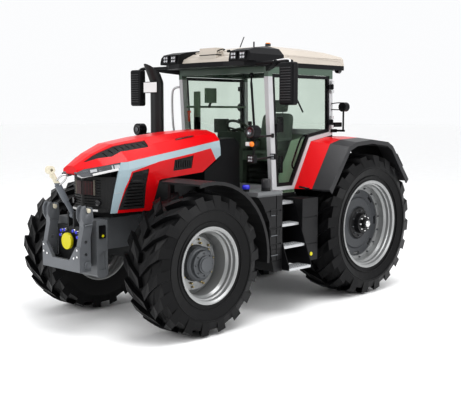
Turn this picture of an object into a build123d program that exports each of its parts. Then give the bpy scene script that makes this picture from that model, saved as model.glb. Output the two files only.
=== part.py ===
import math
import os
from build123d import *

os.makedirs("parts", exist_ok=True)

# All sizes in millimetres: X runs forward from the rear axle, Y to the left, Z up from the ground
WHEELBASE = 2880.0

# Wheels
REAR_TYRE_RADIUS = 900.0
REAR_TYRE_WIDTH = 680.0
REAR_TRACK_HALF = 845.0
REAR_SEAT_RADIUS = 536.0
REAR_RIM_HALF = 305.0
REAR_LUGS = 20
REAR_LUG_HEIGHT = 56.0
REAR_DISC_Y = 925.0
FRONT_TYRE_RADIUS = 750.0
FRONT_TYRE_WIDTH = 575.0
FRONT_TRACK_HALF = 924.0
FRONT_SEAT_RADIUS = 384.0
FRONT_RIM_HALF = 265.0
FRONT_LUGS = 18
FRONT_LUG_HEIGHT = 52.0
FRONT_DISC_Y = 935.0
FLANGE_HEIGHT = 23.0
RIM_WALL = 13.0
RIM_DROP = 44.0
TYRE_FIT = 0.3
BEAD_GAP = 5.0
DISC_WALL = 16.0
DISC_SLOTS = 8
SLOT_RADIUS = 21.0

# Steered ends
KINGPIN_Y = 735.0
KINGPIN_RADIUS = 30.0
KNUCKLE_RADIUS = 82.0
KNUCKLE_HALF = 110.0
HUB_START = 860.0
YOKE_GAP = 8.0
YOKE_EAR = 40.0
AXLE_HALF = 80.0
RUN_FIT = 0.3
MOVE_GAP = 6.0

# Driveline
GEARBOX_HALF = 250.0
GEARBOX_FRONT = 1900.0
GEARBOX_REAR = -330.0
TRUMPET_END = 590.0
RAIL_INNER = 150.0
RAIL_OUTER = 215.0
RAIL_BOTTOM = 880.0
RAIL_TOP = 1220.0
ENGINE_TOP = 1560.0
ENGINE_HALF = 228.0
ENGINE_FRONT = WHEELBASE + 300.0
RAIL_FRONT = WHEELBASE + 680.0
FRAME_FRONT = WHEELBASE + 820.0
FRAME_HALF = 350.0

# Hood
HOOD_HINGE_X = 1985.0
HOOD_HINGE_Z = 2075.0
HOOD_PIN = 9.0
EAR_Y = 105.0
HOOD_REAR_X = HOOD_HINGE_X - 10.0
HOOD_NOSE_X = WHEELBASE + 888.0
# The outlines of lamps, grilles and bands are given for a hood of this length, and follow it
HOOD_DRAWN_LENGTH = 1793.0
HOOD_WALL = 18.0
HOOD_SILL_Z = 1268.0
GRILLE_DEPTH = 6.0
GRILLE_WALL = 8.0
LAMP_DEPTH = 60.0
LAMP_GAP_HALF = 75.0
BAND_EDGE = 9.0

# Cab
CAB_SIDE_OUT = 760.0
CAB_SIDE_IN = 700.0
A_PILLAR = 80.0
SILL = 45.0
DIAGONAL = 50.0
C_PILLAR = 62.0
HEADER = 80.0
DOOR_FRAME = 36.0
DOOR_IN = 718.0
DOOR_OUT = 754.0
GLASS = 8.0
HINGE_X = 352.0
HINGE_Y = 788.0
HINGE_BARREL = 18.0
HINGE_PIN = 8.0
HINGE_LUG = 40.0
HINGE_LEAF = 60.0
FLOOR_BOTTOM = 1320.0
FLOOR_TOP = 1362.0
SILL_Z = 1395.0
ROOF_TOP = 3108.0
ROOF_DEPTH = 258.0
ROOF_FRAME_DEPTH = 55.0
ROOF_HALF = 765.0
ROOF_BOTTOM = ROOF_TOP - ROOF_DEPTH
ROOF_FRAME_TOP = ROOF_BOTTOM + ROOF_FRAME_DEPTH
POD_IN_Y = 430.0
POD_REAR_X = 1260.0

# Rear fenders
FENDER_WALL = 22.0
FENDER_SPLIT_Y = 985.0
FENDER_OUT_Y = 1208.0
FENDER_LIP = 50.0

# Front fenders
ARCH_INNER = 845.0
ARCH_WALL = 20.0
ARCH_LIP = 18.0
ARCH_BACK = 25.0
ARCH_UP = 5.0
ARCH_IN_Y = 620.0
ARCH_OUT_Y = 1205.0
ARCH_START = 77.0
ARCH_END = 186.0

# Side tanks and steps
TANK_REAR = REAR_TYRE_RADIUS + 60.0
TANK_FRONT = WHEELBASE - 1012.0
TANK_IN_Y = 300.0
TANK_MID_Y = 780.0
TANK_OUT_Y = 1100.0
BOX_OUT_Y = 1060.0
TANK_BOTTOM = 520.0
TANK_TOP = 1300.0
DECK_TOP = 1440.0
BOX_SHARE = 0.32
STEP_SHARE = 0.45
CHEEK = 12.0
TREAD = 30.0

# Linkages
FRONT_LIFT_X = FRAME_FRONT + 115.0
FRONT_LIFT_Z = 770.0
LIFT_PIN = 26.0
LIFT_LUG = 42.0
YOKE_IN = 265.0
YOKE_OUT = 335.0
FRONT_LINK_X = FRAME_FRONT + 35.0
FRONT_LINK_Z = 1250.0
FRONT_LINK_LENGTH = 560.0
FRONT_LINK_LEAN = 29.5
FRONT_LINK_EYE = 42.0
FRONT_EYE_HALF = 30.0
LINK_PIN = 14.0
LINK_EYE_BORE = 16.0
ROCKER_X = -330.0
ROCKER_Z = 1290.0
ROCKER_LENGTH = 300.0
ROCKER_DROP = 40.0
ROCKER_SHAFT = 34.0
ROCKER_PIN = 18.0
LOWER_X = -260.0
LOWER_Z = 560.0
LOWER_LENGTH = 890.0
LOWER_PIN = 20.0
LOWER_EYE = 45.0
BALL_BORE = 18.6
TOP_LINK_X = -430.0
TOP_LINK_Z = 1080.0
TOP_LINK_LENGTH = 620.0
PTO_RADIUS = 17.5
PTO_Z = 820.0
PTO_LENGTH = 150.0
DRAWBAR_HOLE = 20.0

# The middle of the tractor, between its foremost and rearmost points
FRONT_REACH = FRONT_LINK_X + FRONT_LINK_LENGTH * math.sin(math.radians(FRONT_LINK_LEAN)) + FRONT_LINK_EYE
REAR_REACH = LOWER_X - LOWER_LENGTH - LOWER_EYE
MID_X = (FRONT_REACH + REAR_REACH) / 2


def block(x, y, z):
    """A box between two values on each axis, given in either order."""
    size = Box(abs(x[1] - x[0]), abs(y[1] - y[0]), abs(z[1] - z[0]))
    return Pos((x[0] + x[1]) / 2, (y[0] + y[1]) / 2, (z[0] + z[1]) / 2) * size


def side_plate(points, y):
    """An outline drawn in X and Z, pushed along Y."""
    wire = Wire.make_polygon([(px, y[0], pz) for px, pz in points])
    return Solid.extrude(Face(wire), (0, y[1] - y[0], 0))


def cross_plate(points, x):
    """An outline drawn in Y and Z, pushed along X."""
    wire = Wire.make_polygon([(x[0], py, pz) for py, pz in points])
    return Solid.extrude(Face(wire), (x[1] - x[0], 0, 0))


def plan_plate(points, z):
    """An outline drawn in X and Y, pushed up along Z."""
    wire = Wire.make_polygon([(px, py, z[0]) for px, py in points])
    return Solid.extrude(Face(wire), (0, 0, z[1] - z[0]))


def rod(start, end, radius):
    """A round bar between two points."""
    start = Vector(*start)
    run = Vector(*end) - start
    return Solid.make_cylinder(radius, run.length, Plane(origin=start, z_dir=run))


def cross_rod(x, z, y, radius):
    """A round bar along Y."""
    return rod((x, min(y), z), (x, max(y), z), radius)


def upright(x, y, z, radius):
    """A round bar along Z."""
    return rod((x, y, z[0]), (x, y, z[1]), radius)


def turned(profile, x, z):
    """A profile of radius and Y values, turned about a cross axis."""
    wire = Wire.make_polygon([(x + radius, y, z) for radius, y in profile])
    return Solid.revolve(Face(wire), 360, Axis((x, 0, z), (0, 1, 0)))


def side_loft(outlines):
    """Straight skins between side outlines, each given with its Y value."""
    wires = [Wire.make_polygon([(px, y, pz) for px, pz in points]) for y, points in outlines]
    return Solid.make_loft(wires, ruled=True)


def mirrored(shape):
    """The same form on the right-hand side."""
    return shape.mirror(Plane.XZ)


def both(shape):
    """A form and its mirror image, joined."""
    return shape + mirrored(shape)


def inset(points, amounts):
    """A polygon with each side moved inward by its own distance."""
    count = len(points)
    area = sum(points[i][0] * points[(i + 1) % count][1] - points[(i + 1) % count][0] * points[i][1]
               for i in range(count))
    turn = 1.0 if area > 0 else -1.0
    lines = []
    for i in range(count):
        start = Vector(*points[i], 0)
        run = (Vector(*points[(i + 1) % count], 0) - start).normalized()
        normal = Vector(-run.Y, run.X, 0) * turn
        lines.append((normal, normal.dot(start) + amounts[i]))
    moved = []
    for i in range(count):
        one, reach_one = lines[i - 1]
        two, reach_two = lines[i]
        cross = one.X * two.Y - one.Y * two.X
        corner_x = (reach_one * two.Y - one.Y * reach_two) / cross
        corner_z = (one.X * reach_two - reach_one * two.X) / cross
        moved.append((corner_x, corner_z))
    return moved


def save(name, *shapes):
    """Writes one node, moved so that the middle of the tractor is at X zero."""
    solids = []
    for shape in shapes:
        solids.extend(shape.solids())
    moved = [Pos(-MID_X, 0, 0) * solid for solid in solids]
    whole = moved[0] if len(moved) == 1 else Compound(moved)
    export_step(whole, "parts/" + name + ".step")


# Tyres: each half has rows of points from the centre line over the shoulder to the bead
LUG_SWEEP = (0.0, 0.10, 0.55, 0.90, 1.0)
LUG_SHARE = (0.50, 0.42, 0.40, 0.46, 0.46)


def add_panel(faces, corners):
    """Adds a flat panel, or two triangles where four corners don't lie in one plane."""
    if len(corners) == 4:
        a, b, c, d = (Vector(*corner) for corner in corners)
        normal = (b - a).cross(c - a).normalized()
        if abs(normal.dot(d - a)) > 0.0005:
            faces.append(Face(Wire.make_polygon([a, b, c])))
            faces.append(Face(Wire.make_polygon([a, c, d])))
            return
    faces.append(Face(Wire.make_polygon(corners)))


def lugged_tyre(radius, width, seat, rim_half, lugs, height, x, y, z):
    """A tyre ring with slanted lugs, set half a pitch apart on its two halves."""
    half = width / 2
    base = radius - height
    bead = rim_half - FLANGE_HEIGHT / 2 - BEAD_GAP
    pitch = 2 * math.pi / lugs
    start = -math.pi / 2 - LUG_SWEEP[2] * pitch
    carcass = ((0, base), (0.05 * half, base), (0.5 * half, base - 2), (0.9 * half, base - 20),
               (half, base - 110))
    tops = (base, radius - 3, radius, radius - 22)
    bore = (seat + TYRE_FIT) / math.cos(pitch / 4)
    faces = []

    def point(offset, reach, turn):
        angle = start + turn * pitch
        return (x + reach * math.cos(angle), y + offset, z + reach * math.sin(angle))

    for side, shift in ((1, 0.0), (-1, 0.5)):

        def low(row, turn):
            return point(side * carcass[row][0], carcass[row][1], turn)

        def high(row, turn):
            return point(side * carcass[row][0], tops[row] / math.cos(LUG_SHARE[row] * pitch / 2), turn)

        for j in range(lugs):
            middle = [j + shift + sweep for sweep in LUG_SWEEP]
            first = [middle[row] - LUG_SHARE[row] / 2 for row in range(5)]
            last = [middle[row] + LUG_SHARE[row] / 2 for row in range(5)]
            after = [turn + 1 for turn in first]
            add_panel(faces, [low(0, first[0]), low(0, last[0]), low(1, last[1]), low(1, first[1])])
            add_panel(faces, [low(1, first[1]), low(1, last[1]), high(1, last[1]), high(1, first[1])])
            for row in range(4):
                add_panel(faces, [low(row, last[row]), low(row, after[row]),
                                  low(row + 1, after[row + 1]), low(row + 1, last[row + 1])])
            for row in (1, 2):
                for edge in (first, last):
                    add_panel(faces, [low(row, edge[row]), high(row, edge[row]),
                                      high(row + 1, edge[row + 1]), low(row + 1, edge[row + 1])])
                add_panel(faces, [high(row, first[row]), high(row, last[row]),
                                  high(row + 1, last[row + 1]), high(row + 1, first[row + 1])])
            for edge in (first, last):
                add_panel(faces, [low(3, edge[3]), high(3, edge[3]), low(4, edge[4])])
            add_panel(faces, [high(3, first[3]), high(3, last[3]), low(4, last[4]), low(4, first[4])])
            for begin, end, near, far in ((first[4], last[4], -0.25, 0.25), (last[4], after[4], 0.25, 0.75)):
                wall = [point(side * (bead + 6), bore + 45, middle[4] + turn) for turn in (near, far)]
                foot = [point(side * bead, bore, middle[4] + turn) for turn in (near, far)]
                add_panel(faces, [low(4, begin), low(4, end), wall[1], wall[0]])
                add_panel(faces, [wall[0], wall[1], foot[1], foot[0]])
                if side == 1:
                    other = [point(-bead, bore, middle[4] + turn) for turn in (near, far)]
                    add_panel(faces, [foot[0], foot[1], other[1], other[0]])
    return Solid(Shell(faces))


def wheel_rim(seat, half, y, x, z):
    """A rolled rim with flanges, bead seats, a drop centre and stepped inner faces."""
    lip = seat + FLANGE_HEIGHT
    well = seat - RIM_DROP
    outer = [(lip, half), (lip, half - 11), (seat, half - 14), (seat - 4, half - 70), (well, half - 125)]
    inner = [(well - RIM_WALL, half - 120), (seat - 34, half - 92), (seat - 32, half - 56),
             (seat - 17, half - 48),
             (seat - RIM_WALL, half - 10), (lip - RIM_WALL, half)]
    profile = [(r, y + d) for r, d in outer]
    profile += [(r, y - d) for r, d in reversed(outer)]
    profile += [(r, y - d) for r, d in reversed(inner)]
    profile += [(r, y + d) for r, d in inner]
    return turned(profile, x, z)


# Driveline housings
gearbox = side_plate(
    [(GEARBOX_REAR, 640), (GEARBOX_REAR, 1190), (-160, 1260), (900, 1260), (1300, 1190),
     (GEARBOX_FRONT, 1190),
     (GEARBOX_FRONT, 600), (1200, 520), (300, 480), (-220, 520)],
    (-GEARBOX_HALF, GEARBOX_HALF))
save("gearbox_housing", gearbox)

trumpet = turned(
    [(0, GEARBOX_HALF), (235, GEARBOX_HALF), (235, GEARBOX_HALF + 40), (170, TRUMPET_END - 120),
     (155, TRUMPET_END - 35), (200, TRUMPET_END - 30), (200, TRUMPET_END), (0, TRUMPET_END)],
    0, REAR_TYRE_RADIUS)
save("rear_axle", trumpet, mirrored(trumpet))

SUMP_REAR_BOTTOM = 620.0
SUMP_FRONT_BOTTOM = 900.0
SUMP_STEP_X = WHEELBASE - 240.0
engine = block((GEARBOX_FRONT, ENGINE_FRONT), (-ENGINE_HALF, ENGINE_HALF), (RAIL_TOP, ENGINE_TOP))
engine += block((GEARBOX_FRONT, SUMP_STEP_X), (-RAIL_INNER, RAIL_INNER), (SUMP_REAR_BOTTOM, RAIL_TOP))
engine += block((SUMP_STEP_X, ENGINE_FRONT), (-RAIL_INNER, RAIL_INNER), (SUMP_FRONT_BOTTOM, RAIL_TOP))
save("engine_block", engine)

AXLE_PAD_HALF = 180.0
PAD_TOP = RAIL_BOTTOM
PAD_BOTTOM = PAD_TOP - 20.0
rail = block((GEARBOX_FRONT, RAIL_FRONT), (RAIL_INNER, RAIL_OUTER), (RAIL_BOTTOM, RAIL_TOP))
front_frame = both(rail)
nose_side = [(RAIL_FRONT, 1215), (FRAME_FRONT, 1215), (FRAME_FRONT, 650)]
for step in range(1, 6):
    angle = math.radians(-36 * step)
    nose_side.append((FRAME_FRONT - 70 + 70 * math.cos(angle), 650 + 38 * math.sin(angle)))
nose_side.append((RAIL_FRONT, 760))
front_frame += side_plate(nose_side, (-FRAME_HALF, FRAME_HALF))
recess = side_plate([(RAIL_FRONT + 30, 700), (FRAME_FRONT - 30, 690), (FRAME_FRONT - 30, 860),
                     (RAIL_FRONT + 30, 900)],
                    (FRAME_HALF - 14, FRAME_HALF + 10))
front_frame -= recess
front_frame -= mirrored(recess)
front_frame += block((WHEELBASE - AXLE_PAD_HALF, WHEELBASE + AXLE_PAD_HALF), (-RAIL_OUTER, RAIL_OUTER),
                     (PAD_BOTTOM, PAD_TOP))
save("front_frame", front_frame)

COOLING_REAR = ENGINE_FRONT + 20.0
COOLING_FRONT = ENGINE_FRONT + 260.0
COOLING_TOP = 1715.0
COOLING_HALF = 270.0
cooling = block((COOLING_REAR, COOLING_FRONT), (-COOLING_HALF, COOLING_HALF), (RAIL_TOP, COOLING_TOP))
save("cooling_pack", cooling)

# Front axle and steered ends
HUB_Z = FRONT_TYRE_RADIUS
EAR_LOW = HUB_Z + KNUCKLE_HALF + YOKE_GAP
EAR_TOP = EAR_LOW + YOKE_EAR
EAR_FLOOR = HUB_Z - KNUCKLE_HALF - YOKE_GAP - YOKE_EAR
AXLE_END = KINGPIN_Y - 95.0
AXLE_BEAM = 60.0
EAR_RADIUS = 66.0
axle = block((WHEELBASE - AXLE_HALF, WHEELBASE + AXLE_HALF), (-AXLE_END, AXLE_END),
             (HUB_Z - AXLE_BEAM, HUB_Z + AXLE_BEAM))
axle += cross_rod(WHEELBASE, HUB_Z - 50, (-70, 180), 150)
axle += block((WHEELBASE - AXLE_PAD_HALF, WHEELBASE + AXLE_PAD_HALF), (-100, 100), (HUB_Z + 30, PAD_BOTTOM))
for side in (1, -1):
    axle += block((WHEELBASE - AXLE_HALF, WHEELBASE + AXLE_HALF), ((AXLE_END - 80) * side, AXLE_END * side),
                  (EAR_FLOOR, EAR_TOP))
    for low in (EAR_LOW, EAR_FLOOR):
        axle += block((WHEELBASE - EAR_RADIUS, WHEELBASE + EAR_RADIUS),
                      ((AXLE_END - 40) * side, KINGPIN_Y * side),
                      (low, low + YOKE_EAR))
        axle += upright(WHEELBASE, KINGPIN_Y * side, (low, low + YOKE_EAR), EAR_RADIUS)
    axle -= upright(WHEELBASE, KINGPIN_Y * side, (EAR_FLOOR - 100, EAR_TOP + 100), KINGPIN_RADIUS + RUN_FIT)
save("front_axle", axle)

knuckle = upright(WHEELBASE, KINGPIN_Y, (HUB_Z - KNUCKLE_HALF, HUB_Z + KNUCKLE_HALF), KNUCKLE_RADIUS)
knuckle += upright(WHEELBASE, KINGPIN_Y, (EAR_FLOOR + 10, EAR_LOW + 12), KINGPIN_RADIUS)
knuckle += cross_rod(WHEELBASE, HUB_Z, (KINGPIN_Y, HUB_START - 0.5), KNUCKLE_RADIUS + 16)
save("knuckle_left", knuckle)
save("knuckle_right", mirrored(knuckle))

# Wheels
front_tyre = lugged_tyre(FRONT_TYRE_RADIUS, FRONT_TYRE_WIDTH, FRONT_SEAT_RADIUS, FRONT_RIM_HALF, FRONT_LUGS,
                         FRONT_LUG_HEIGHT, WHEELBASE, FRONT_TRACK_HALF, FRONT_TYRE_RADIUS)
rear_tyre = lugged_tyre(REAR_TYRE_RADIUS, REAR_TYRE_WIDTH, REAR_SEAT_RADIUS, REAR_RIM_HALF, REAR_LUGS,
                        REAR_LUG_HEIGHT, 0, REAR_TRACK_HALF, REAR_TYRE_RADIUS)
save("front_tyre_left", front_tyre)
save("front_tyre_right", Pos(0, -2 * FRONT_TRACK_HALF, 0) * front_tyre)
save("rear_tyre_left", rear_tyre)
save("rear_tyre_right", Pos(0, -2 * REAR_TRACK_HALF, 0) * rear_tyre)

HUB_FLANGE = 235.0
HUB_DRUM = 190.0
front_well = FRONT_SEAT_RADIUS - RIM_DROP - RIM_WALL
dish_step = (front_well + HUB_FLANGE) / 2
front_rim = wheel_rim(FRONT_SEAT_RADIUS, FRONT_RIM_HALF, FRONT_TRACK_HALF, WHEELBASE, HUB_Z)
front_rim += turned(
    [(front_well + 6, FRONT_DISC_Y - 40), (front_well + 6, FRONT_DISC_Y - 40 + DISC_WALL),
     (dish_step, FRONT_DISC_Y + DISC_WALL), (HUB_DRUM + 4, FRONT_DISC_Y + DISC_WALL),
     (HUB_DRUM + 4, FRONT_DISC_Y), (HUB_FLANGE + 6, FRONT_DISC_Y), (dish_step, FRONT_DISC_Y - 2)],
    WHEELBASE, HUB_Z)
save("front_rim_left", front_rim)
save("front_rim_right", mirrored(front_rim))

front_hub = turned(
    [(0, HUB_START), (HUB_FLANGE, HUB_START), (HUB_FLANGE, FRONT_DISC_Y), (HUB_DRUM, FRONT_DISC_Y),
     (HUB_DRUM - 4, FRONT_DISC_Y + 90), (HUB_DRUM - 22, FRONT_DISC_Y + 105), (150, FRONT_DISC_Y + 112),
     (142, FRONT_DISC_Y + 145), (95, FRONT_DISC_Y + 155), (92, FRONT_DISC_Y + 178), (0, FRONT_DISC_Y + 182)],
    WHEELBASE, HUB_Z)
save("front_hub_left", front_hub)
save("front_hub_right", mirrored(front_hub))

rear_well = REAR_SEAT_RADIUS - RIM_DROP - RIM_WALL
disc_edge = rear_well - 9.0
disc_face = REAR_DISC_Y + DISC_WALL
rear_rim = wheel_rim(REAR_SEAT_RADIUS, REAR_RIM_HALF, REAR_TRACK_HALF, 0, REAR_TYRE_RADIUS)
rear_rim += turned([(disc_edge - 40, disc_face), (rear_well + 6, disc_face),
                    (rear_well + 6, disc_face + DISC_WALL),
                    (disc_edge - 40, disc_face + DISC_WALL)], 0, REAR_TYRE_RADIUS)
save("rear_rim_left", rear_rim)
save("rear_rim_right", mirrored(rear_rim))

HUB_SHAFT = 85.0
HUB_CAP = 62.0
rear_hub = turned(
    [(0, TRUMPET_END + 0.5), (HUB_DRUM, TRUMPET_END + 0.5), (HUB_DRUM, TRUMPET_END + 30),
     (HUB_SHAFT, TRUMPET_END + 50),
     (HUB_SHAFT, REAR_DISC_Y - 45), (215, REAR_DISC_Y - 30), (215, REAR_DISC_Y), (disc_edge, REAR_DISC_Y),
     (disc_edge, disc_face), (disc_edge * 0.72, disc_face), (disc_edge * 0.68, disc_face + 14),
     (215, disc_face + 16),
     (HUB_DRUM, disc_face + 44), (130, disc_face + 50), (120, disc_face + 110), (HUB_CAP, disc_face + 114),
     (HUB_CAP - 4, disc_face + 160), (0, disc_face + 164)],
    0, REAR_TYRE_RADIUS)
slot_reach = disc_edge - 40 - SLOT_RADIUS - 12
for i in range(DISC_SLOTS):
    for lean in (-5.0, 0.0, 5.0):
        angle = 2 * math.pi * i / DISC_SLOTS + math.radians(lean)
        slot_x = slot_reach * math.cos(angle)
        slot_z = REAR_TYRE_RADIUS + slot_reach * math.sin(angle)
        rear_hub -= cross_rod(slot_x, slot_z, (REAR_DISC_Y - 10, disc_face + 30), SLOT_RADIUS)
save("rear_hub_left", rear_hub)
save("rear_hub_right", mirrored(rear_hub))

# Front fenders, each on an arm that turns about the kingpin
ARCH_STEPS = 14
ARCH_X = WHEELBASE - ARCH_BACK
ARCH_Z = HUB_Z + ARCH_UP


def arch_sector(inner, outer):
    """A band of the arch in side view, between two radii."""
    points = []
    for radius, order in ((inner, range(ARCH_STEPS + 1)), (outer, range(ARCH_STEPS, -1, -1))):
        for i in order:
            angle = math.radians(ARCH_START + (ARCH_END - ARCH_START) * i / ARCH_STEPS)
            points.append((ARCH_X + radius * math.cos(angle), ARCH_Z + radius * math.sin(angle)))
    return points


arch = side_plate(arch_sector(ARCH_INNER, ARCH_INNER + ARCH_WALL), (ARCH_IN_Y, ARCH_OUT_Y))
arch += side_plate(arch_sector(ARCH_INNER - ARCH_LIP, ARCH_INNER + ARCH_WALL), (ARCH_OUT_Y - 16, ARCH_OUT_Y))
ARCH_REAR_CUT = ARCH_X - ARCH_INNER * 0.42
arch -= plan_plate([(ARCH_X - ARCH_INNER - 120, ARCH_IN_Y - 120), (ARCH_REAR_CUT, ARCH_IN_Y - 120),
                    (ARCH_REAR_CUT, ARCH_IN_Y), (ARCH_X - ARCH_INNER + 20, ARCH_IN_Y + 180),
                    (ARCH_X - ARCH_INNER - 120, ARCH_IN_Y + 180)], (HUB_Z - 350, HUB_Z + 950))
ARM_HALF = 30.0
ARM_WALL = 28.0
ARM_IN_Y = ARCH_IN_Y - 60.0
arm_z = EAR_TOP + MOVE_GAP
arch_top = ARCH_Z + ARCH_INNER
arm = upright(WHEELBASE, KINGPIN_Y, (arm_z, arm_z + ARM_WALL), EAR_RADIUS - 8)
arm += upright(WHEELBASE, KINGPIN_Y, (EAR_LOW + 18, arm_z + 10), KINGPIN_RADIUS)
arm += block((WHEELBASE - ARM_HALF, WHEELBASE + ARM_HALF), (ARM_IN_Y, KINGPIN_Y), (arm_z, arm_z + ARM_WALL))
arm += block((WHEELBASE - ARM_HALF, WHEELBASE + ARM_HALF), (ARM_IN_Y, ARM_IN_Y + 40), (arm_z, arch_top - 10))
arm += block((WHEELBASE - ARM_HALF, WHEELBASE + ARM_HALF), (ARM_IN_Y, ARCH_IN_Y + 180),
             (arch_top - 34, arch_top - 2))
front_fender = arch + arm
save("front_fender_left", front_fender)
save("front_fender_right", mirrored(front_fender))

# Hood: stations along its length, each with half a cross section from the centre line to the waist, and its sill
HOOD_STATIONS = (
    (0.0, ((0, 2120), (190, 2114), (330, 2075), (405, 2008), (424, 1915), (428, 1800)), 424),
    (0.237, ((0, 2100), (170, 2094), (325, 2050), (408, 1947), (425, 1857), (428, 1760)), 424),
    (0.516, ((0, 2052), (140, 2046), (310, 1985), (410, 1878), (428, 1788), (428, 1700)), 400),
    (0.750, ((0, 1990), (112, 1985), (285, 1915), (405, 1818), (424, 1728), (420, 1650)), 345),
    (0.884, ((0, 1893), (88, 1888), (190, 1840), (285, 1775), (300, 1700), (298, 1640)), 290),
    (1.0, ((0, 1770), (62, 1766), (90, 1752), (118, 1735), (124, 1692), (122, 1640)), 110),
)
WALL_DROP = (1.0, 1.0, 0.9, 0.6, 0.0, 0.0)


def hood_form(wall, reach):
    """The hood's outer form, or a form inside it when a wall is taken off."""
    sections = []
    for share, half, sill in HOOD_STATIONS:
        x = HOOD_REAR_X + share * (HOOD_NOSE_X - HOOD_REAR_X)
        if share == 0.0:
            x -= reach
        if share == 1.0:
            x -= wall
        side = [(y - wall, z - wall * drop) for (y, z), drop in zip(half[1:], WALL_DROP[1:])]
        side.append((sill - wall, HOOD_SILL_Z - reach))
        points = [(x, 0, half[0][1] - wall)]
        points += [(x, y, z) for y, z in side]
        points += [(x, -y, z) for y, z in reversed(side)]
        sections.append(Wire.make_polygon(points))
    return Solid.make_loft(sections, ruled=True)


def station_line(index, shift):
    """The run of one section point along the hood in side view, up to the headlamps."""
    line = []
    for share, half, sill in HOOD_STATIONS[:4]:
        line.append((HOOD_REAR_X + share * (HOOD_NOSE_X - HOOD_REAR_X), half[index][1] + shift))
    return line


REACH = 60.0
WIDE = 700.0
NOSE = HOOD_NOSE_X
REAR = HOOD_REAR_X
HOOD_FIT = (NOSE - REAR) / HOOD_DRAWN_LENGTH
hood_outer = hood_form(0, 0)
hood_inner = hood_form(HOOD_WALL, REACH)
shell = hood_outer - hood_inner
below_hood = [(REAR - 75 * HOOD_FIT, 1100), (NOSE - 764 * HOOD_FIT, 1100), (NOSE - 764 * HOOD_FIT, 1252),
              (NOSE - 861 * HOOD_FIT, 1590),
              (NOSE - 904 * HOOD_FIT, 1603),
              (REAR + 288 * HOOD_FIT, 1647), (REAR + 10 * HOOD_FIT, 1822), (REAR - 75 * HOOD_FIT, 1822)]
shell -= side_plate(below_hood, (-WIDE, WIDE))
lamp_line = [(NOSE - 377 * HOOD_FIT, 1803), (NOSE - 208 * HOOD_FIT, 1770), (NOSE - 56 * HOOD_FIT, 1738),
             (NOSE + 12 * HOOD_FIT, 1700), (NOSE - 52 * HOOD_FIT, 1655),
             (NOSE - 142 * HOOD_FIT, 1672), (NOSE - 353 * HOOD_FIT, 1735)]
mouth = [(NOSE - 271 * HOOD_FIT, 1150), (NOSE + 132 * HOOD_FIT, 1150), (NOSE + 132 * HOOD_FIT, 1700),
         (NOSE + 12 * HOOD_FIT, 1700), (NOSE - 52 * HOOD_FIT, 1655),
         (NOSE - 142 * HOOD_FIT, 1672), (NOSE - 353 * HOOD_FIT, 1735), (NOSE - 328 * HOOD_FIT, 1560)]
band_line = station_line(3, -BAND_EDGE) + [(NOSE - 377 * HOOD_FIT, 1803), (NOSE - 353 * HOOD_FIT, 1735),
                                           (NOSE - 290 * HOOD_FIT, 1560),
                                           (NOSE - 200 * HOOD_FIT, 1200), (NOSE - 342 * HOOD_FIT, 1200),
                                           (NOSE - 418 * HOOD_FIT, 1530),
                                           (NOSE - 480 * HOOD_FIT, 1703)]
band_line += list(reversed(station_line(4, BAND_EDGE)[1:3])) + [(REAR + 155 * HOOD_FIT, 1912),
                                                                (REAR + 72 * HOOD_FIT, 1765),
                                                                (REAR - 15 * HOOD_FIT, 1780)]
band_line[0] = (REAR - 15 * HOOD_FIT, 2001)
side_gap = [(NOSE - 717 * HOOD_FIT, 1725), (NOSE - 500 * HOOD_FIT, 1693), (NOSE - 433 * HOOD_FIT, 1530),
            (NOSE - 368 * HOOD_FIT, 1302),
            (NOSE - 681 * HOOD_FIT, 1302),
            (NOSE - 687 * HOOD_FIT, 1551)]
rear_vent = [(REAR + 712 * HOOD_FIT, 1801), (REAR + 426 * HOOD_FIT, 1842), (REAR + 458 * HOOD_FIT, 1701),
             (REAR + 735 * HOOD_FIT, 1682)]
top_gap = [(NOSE - 840 * HOOD_FIT, 200), (NOSE - 605 * HOOD_FIT, 165), (NOSE - 440 * HOOD_FIT, 150),
           (NOSE - 281 * HOOD_FIT, 120), (NOSE - 99 * HOOD_FIT, 100),
           (NOSE - 105 * HOOD_FIT, 118), (NOSE - 340 * HOOD_FIT, 268), (NOSE - 500 * HOOD_FIT, 297),
           (NOSE - 790 * HOOD_FIT, 327)]
louvre = [(REAR + 340 * HOOD_FIT, 312), (REAR + 600 * HOOD_FIT, 312), (REAR + 612 * HOOD_FIT, 332),
          (REAR + 362 * HOOD_FIT, 336)]


def on_sides(points):
    """A side outline that reaches through the left and the right wall."""
    return [side_plate(points, (LAMP_GAP_HALF, WIDE)), side_plate(points, (-WIDE, -LAMP_GAP_HALF))]


def on_top(points):
    """A plan outline that reaches through the top, left and right of the spine."""
    flipped = [(px, -py) for px, py in points]
    return [plan_plate(points, (1700, 2200)), plan_plate(flipped, (1700, 2200))]


mouth_cut = side_plate(mouth, (-WIDE, WIDE))
band_parts = []
lamp_parts = []
grille_parts = []
deep_inner = hood_form(LAMP_DEPTH, REACH)
grille_skin = hood_form(GRILLE_DEPTH, REACH) - hood_form(GRILLE_DEPTH + GRILLE_WALL, REACH)
SLOT = 13.0
SLOT_PITCH = 34.0
for cutter in on_sides(band_line):
    strip = (shell & cutter) - mouth_cut
    for lamp_cut in on_sides(lamp_line):
        strip -= lamp_cut
    band_parts.append(strip)
    shell -= cutter
shell -= mouth_cut
for cutter in on_sides(lamp_line):
    lamp_parts.append((hood_outer - deep_inner) & cutter)
    shell -= cutter
for cutter in on_sides(side_gap):
    panel = grille_skin & cutter
    for i in range(9):
        low = 1330 + i * SLOT_PITCH
        panel -= block((NOSE - 660 * HOOD_FIT, NOSE - 470 * HOOD_FIT + 5.0 * (10 - i)), (-WIDE, WIDE),
                       (low, low + SLOT))
    grille_parts.append(panel)
    shell -= cutter
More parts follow.
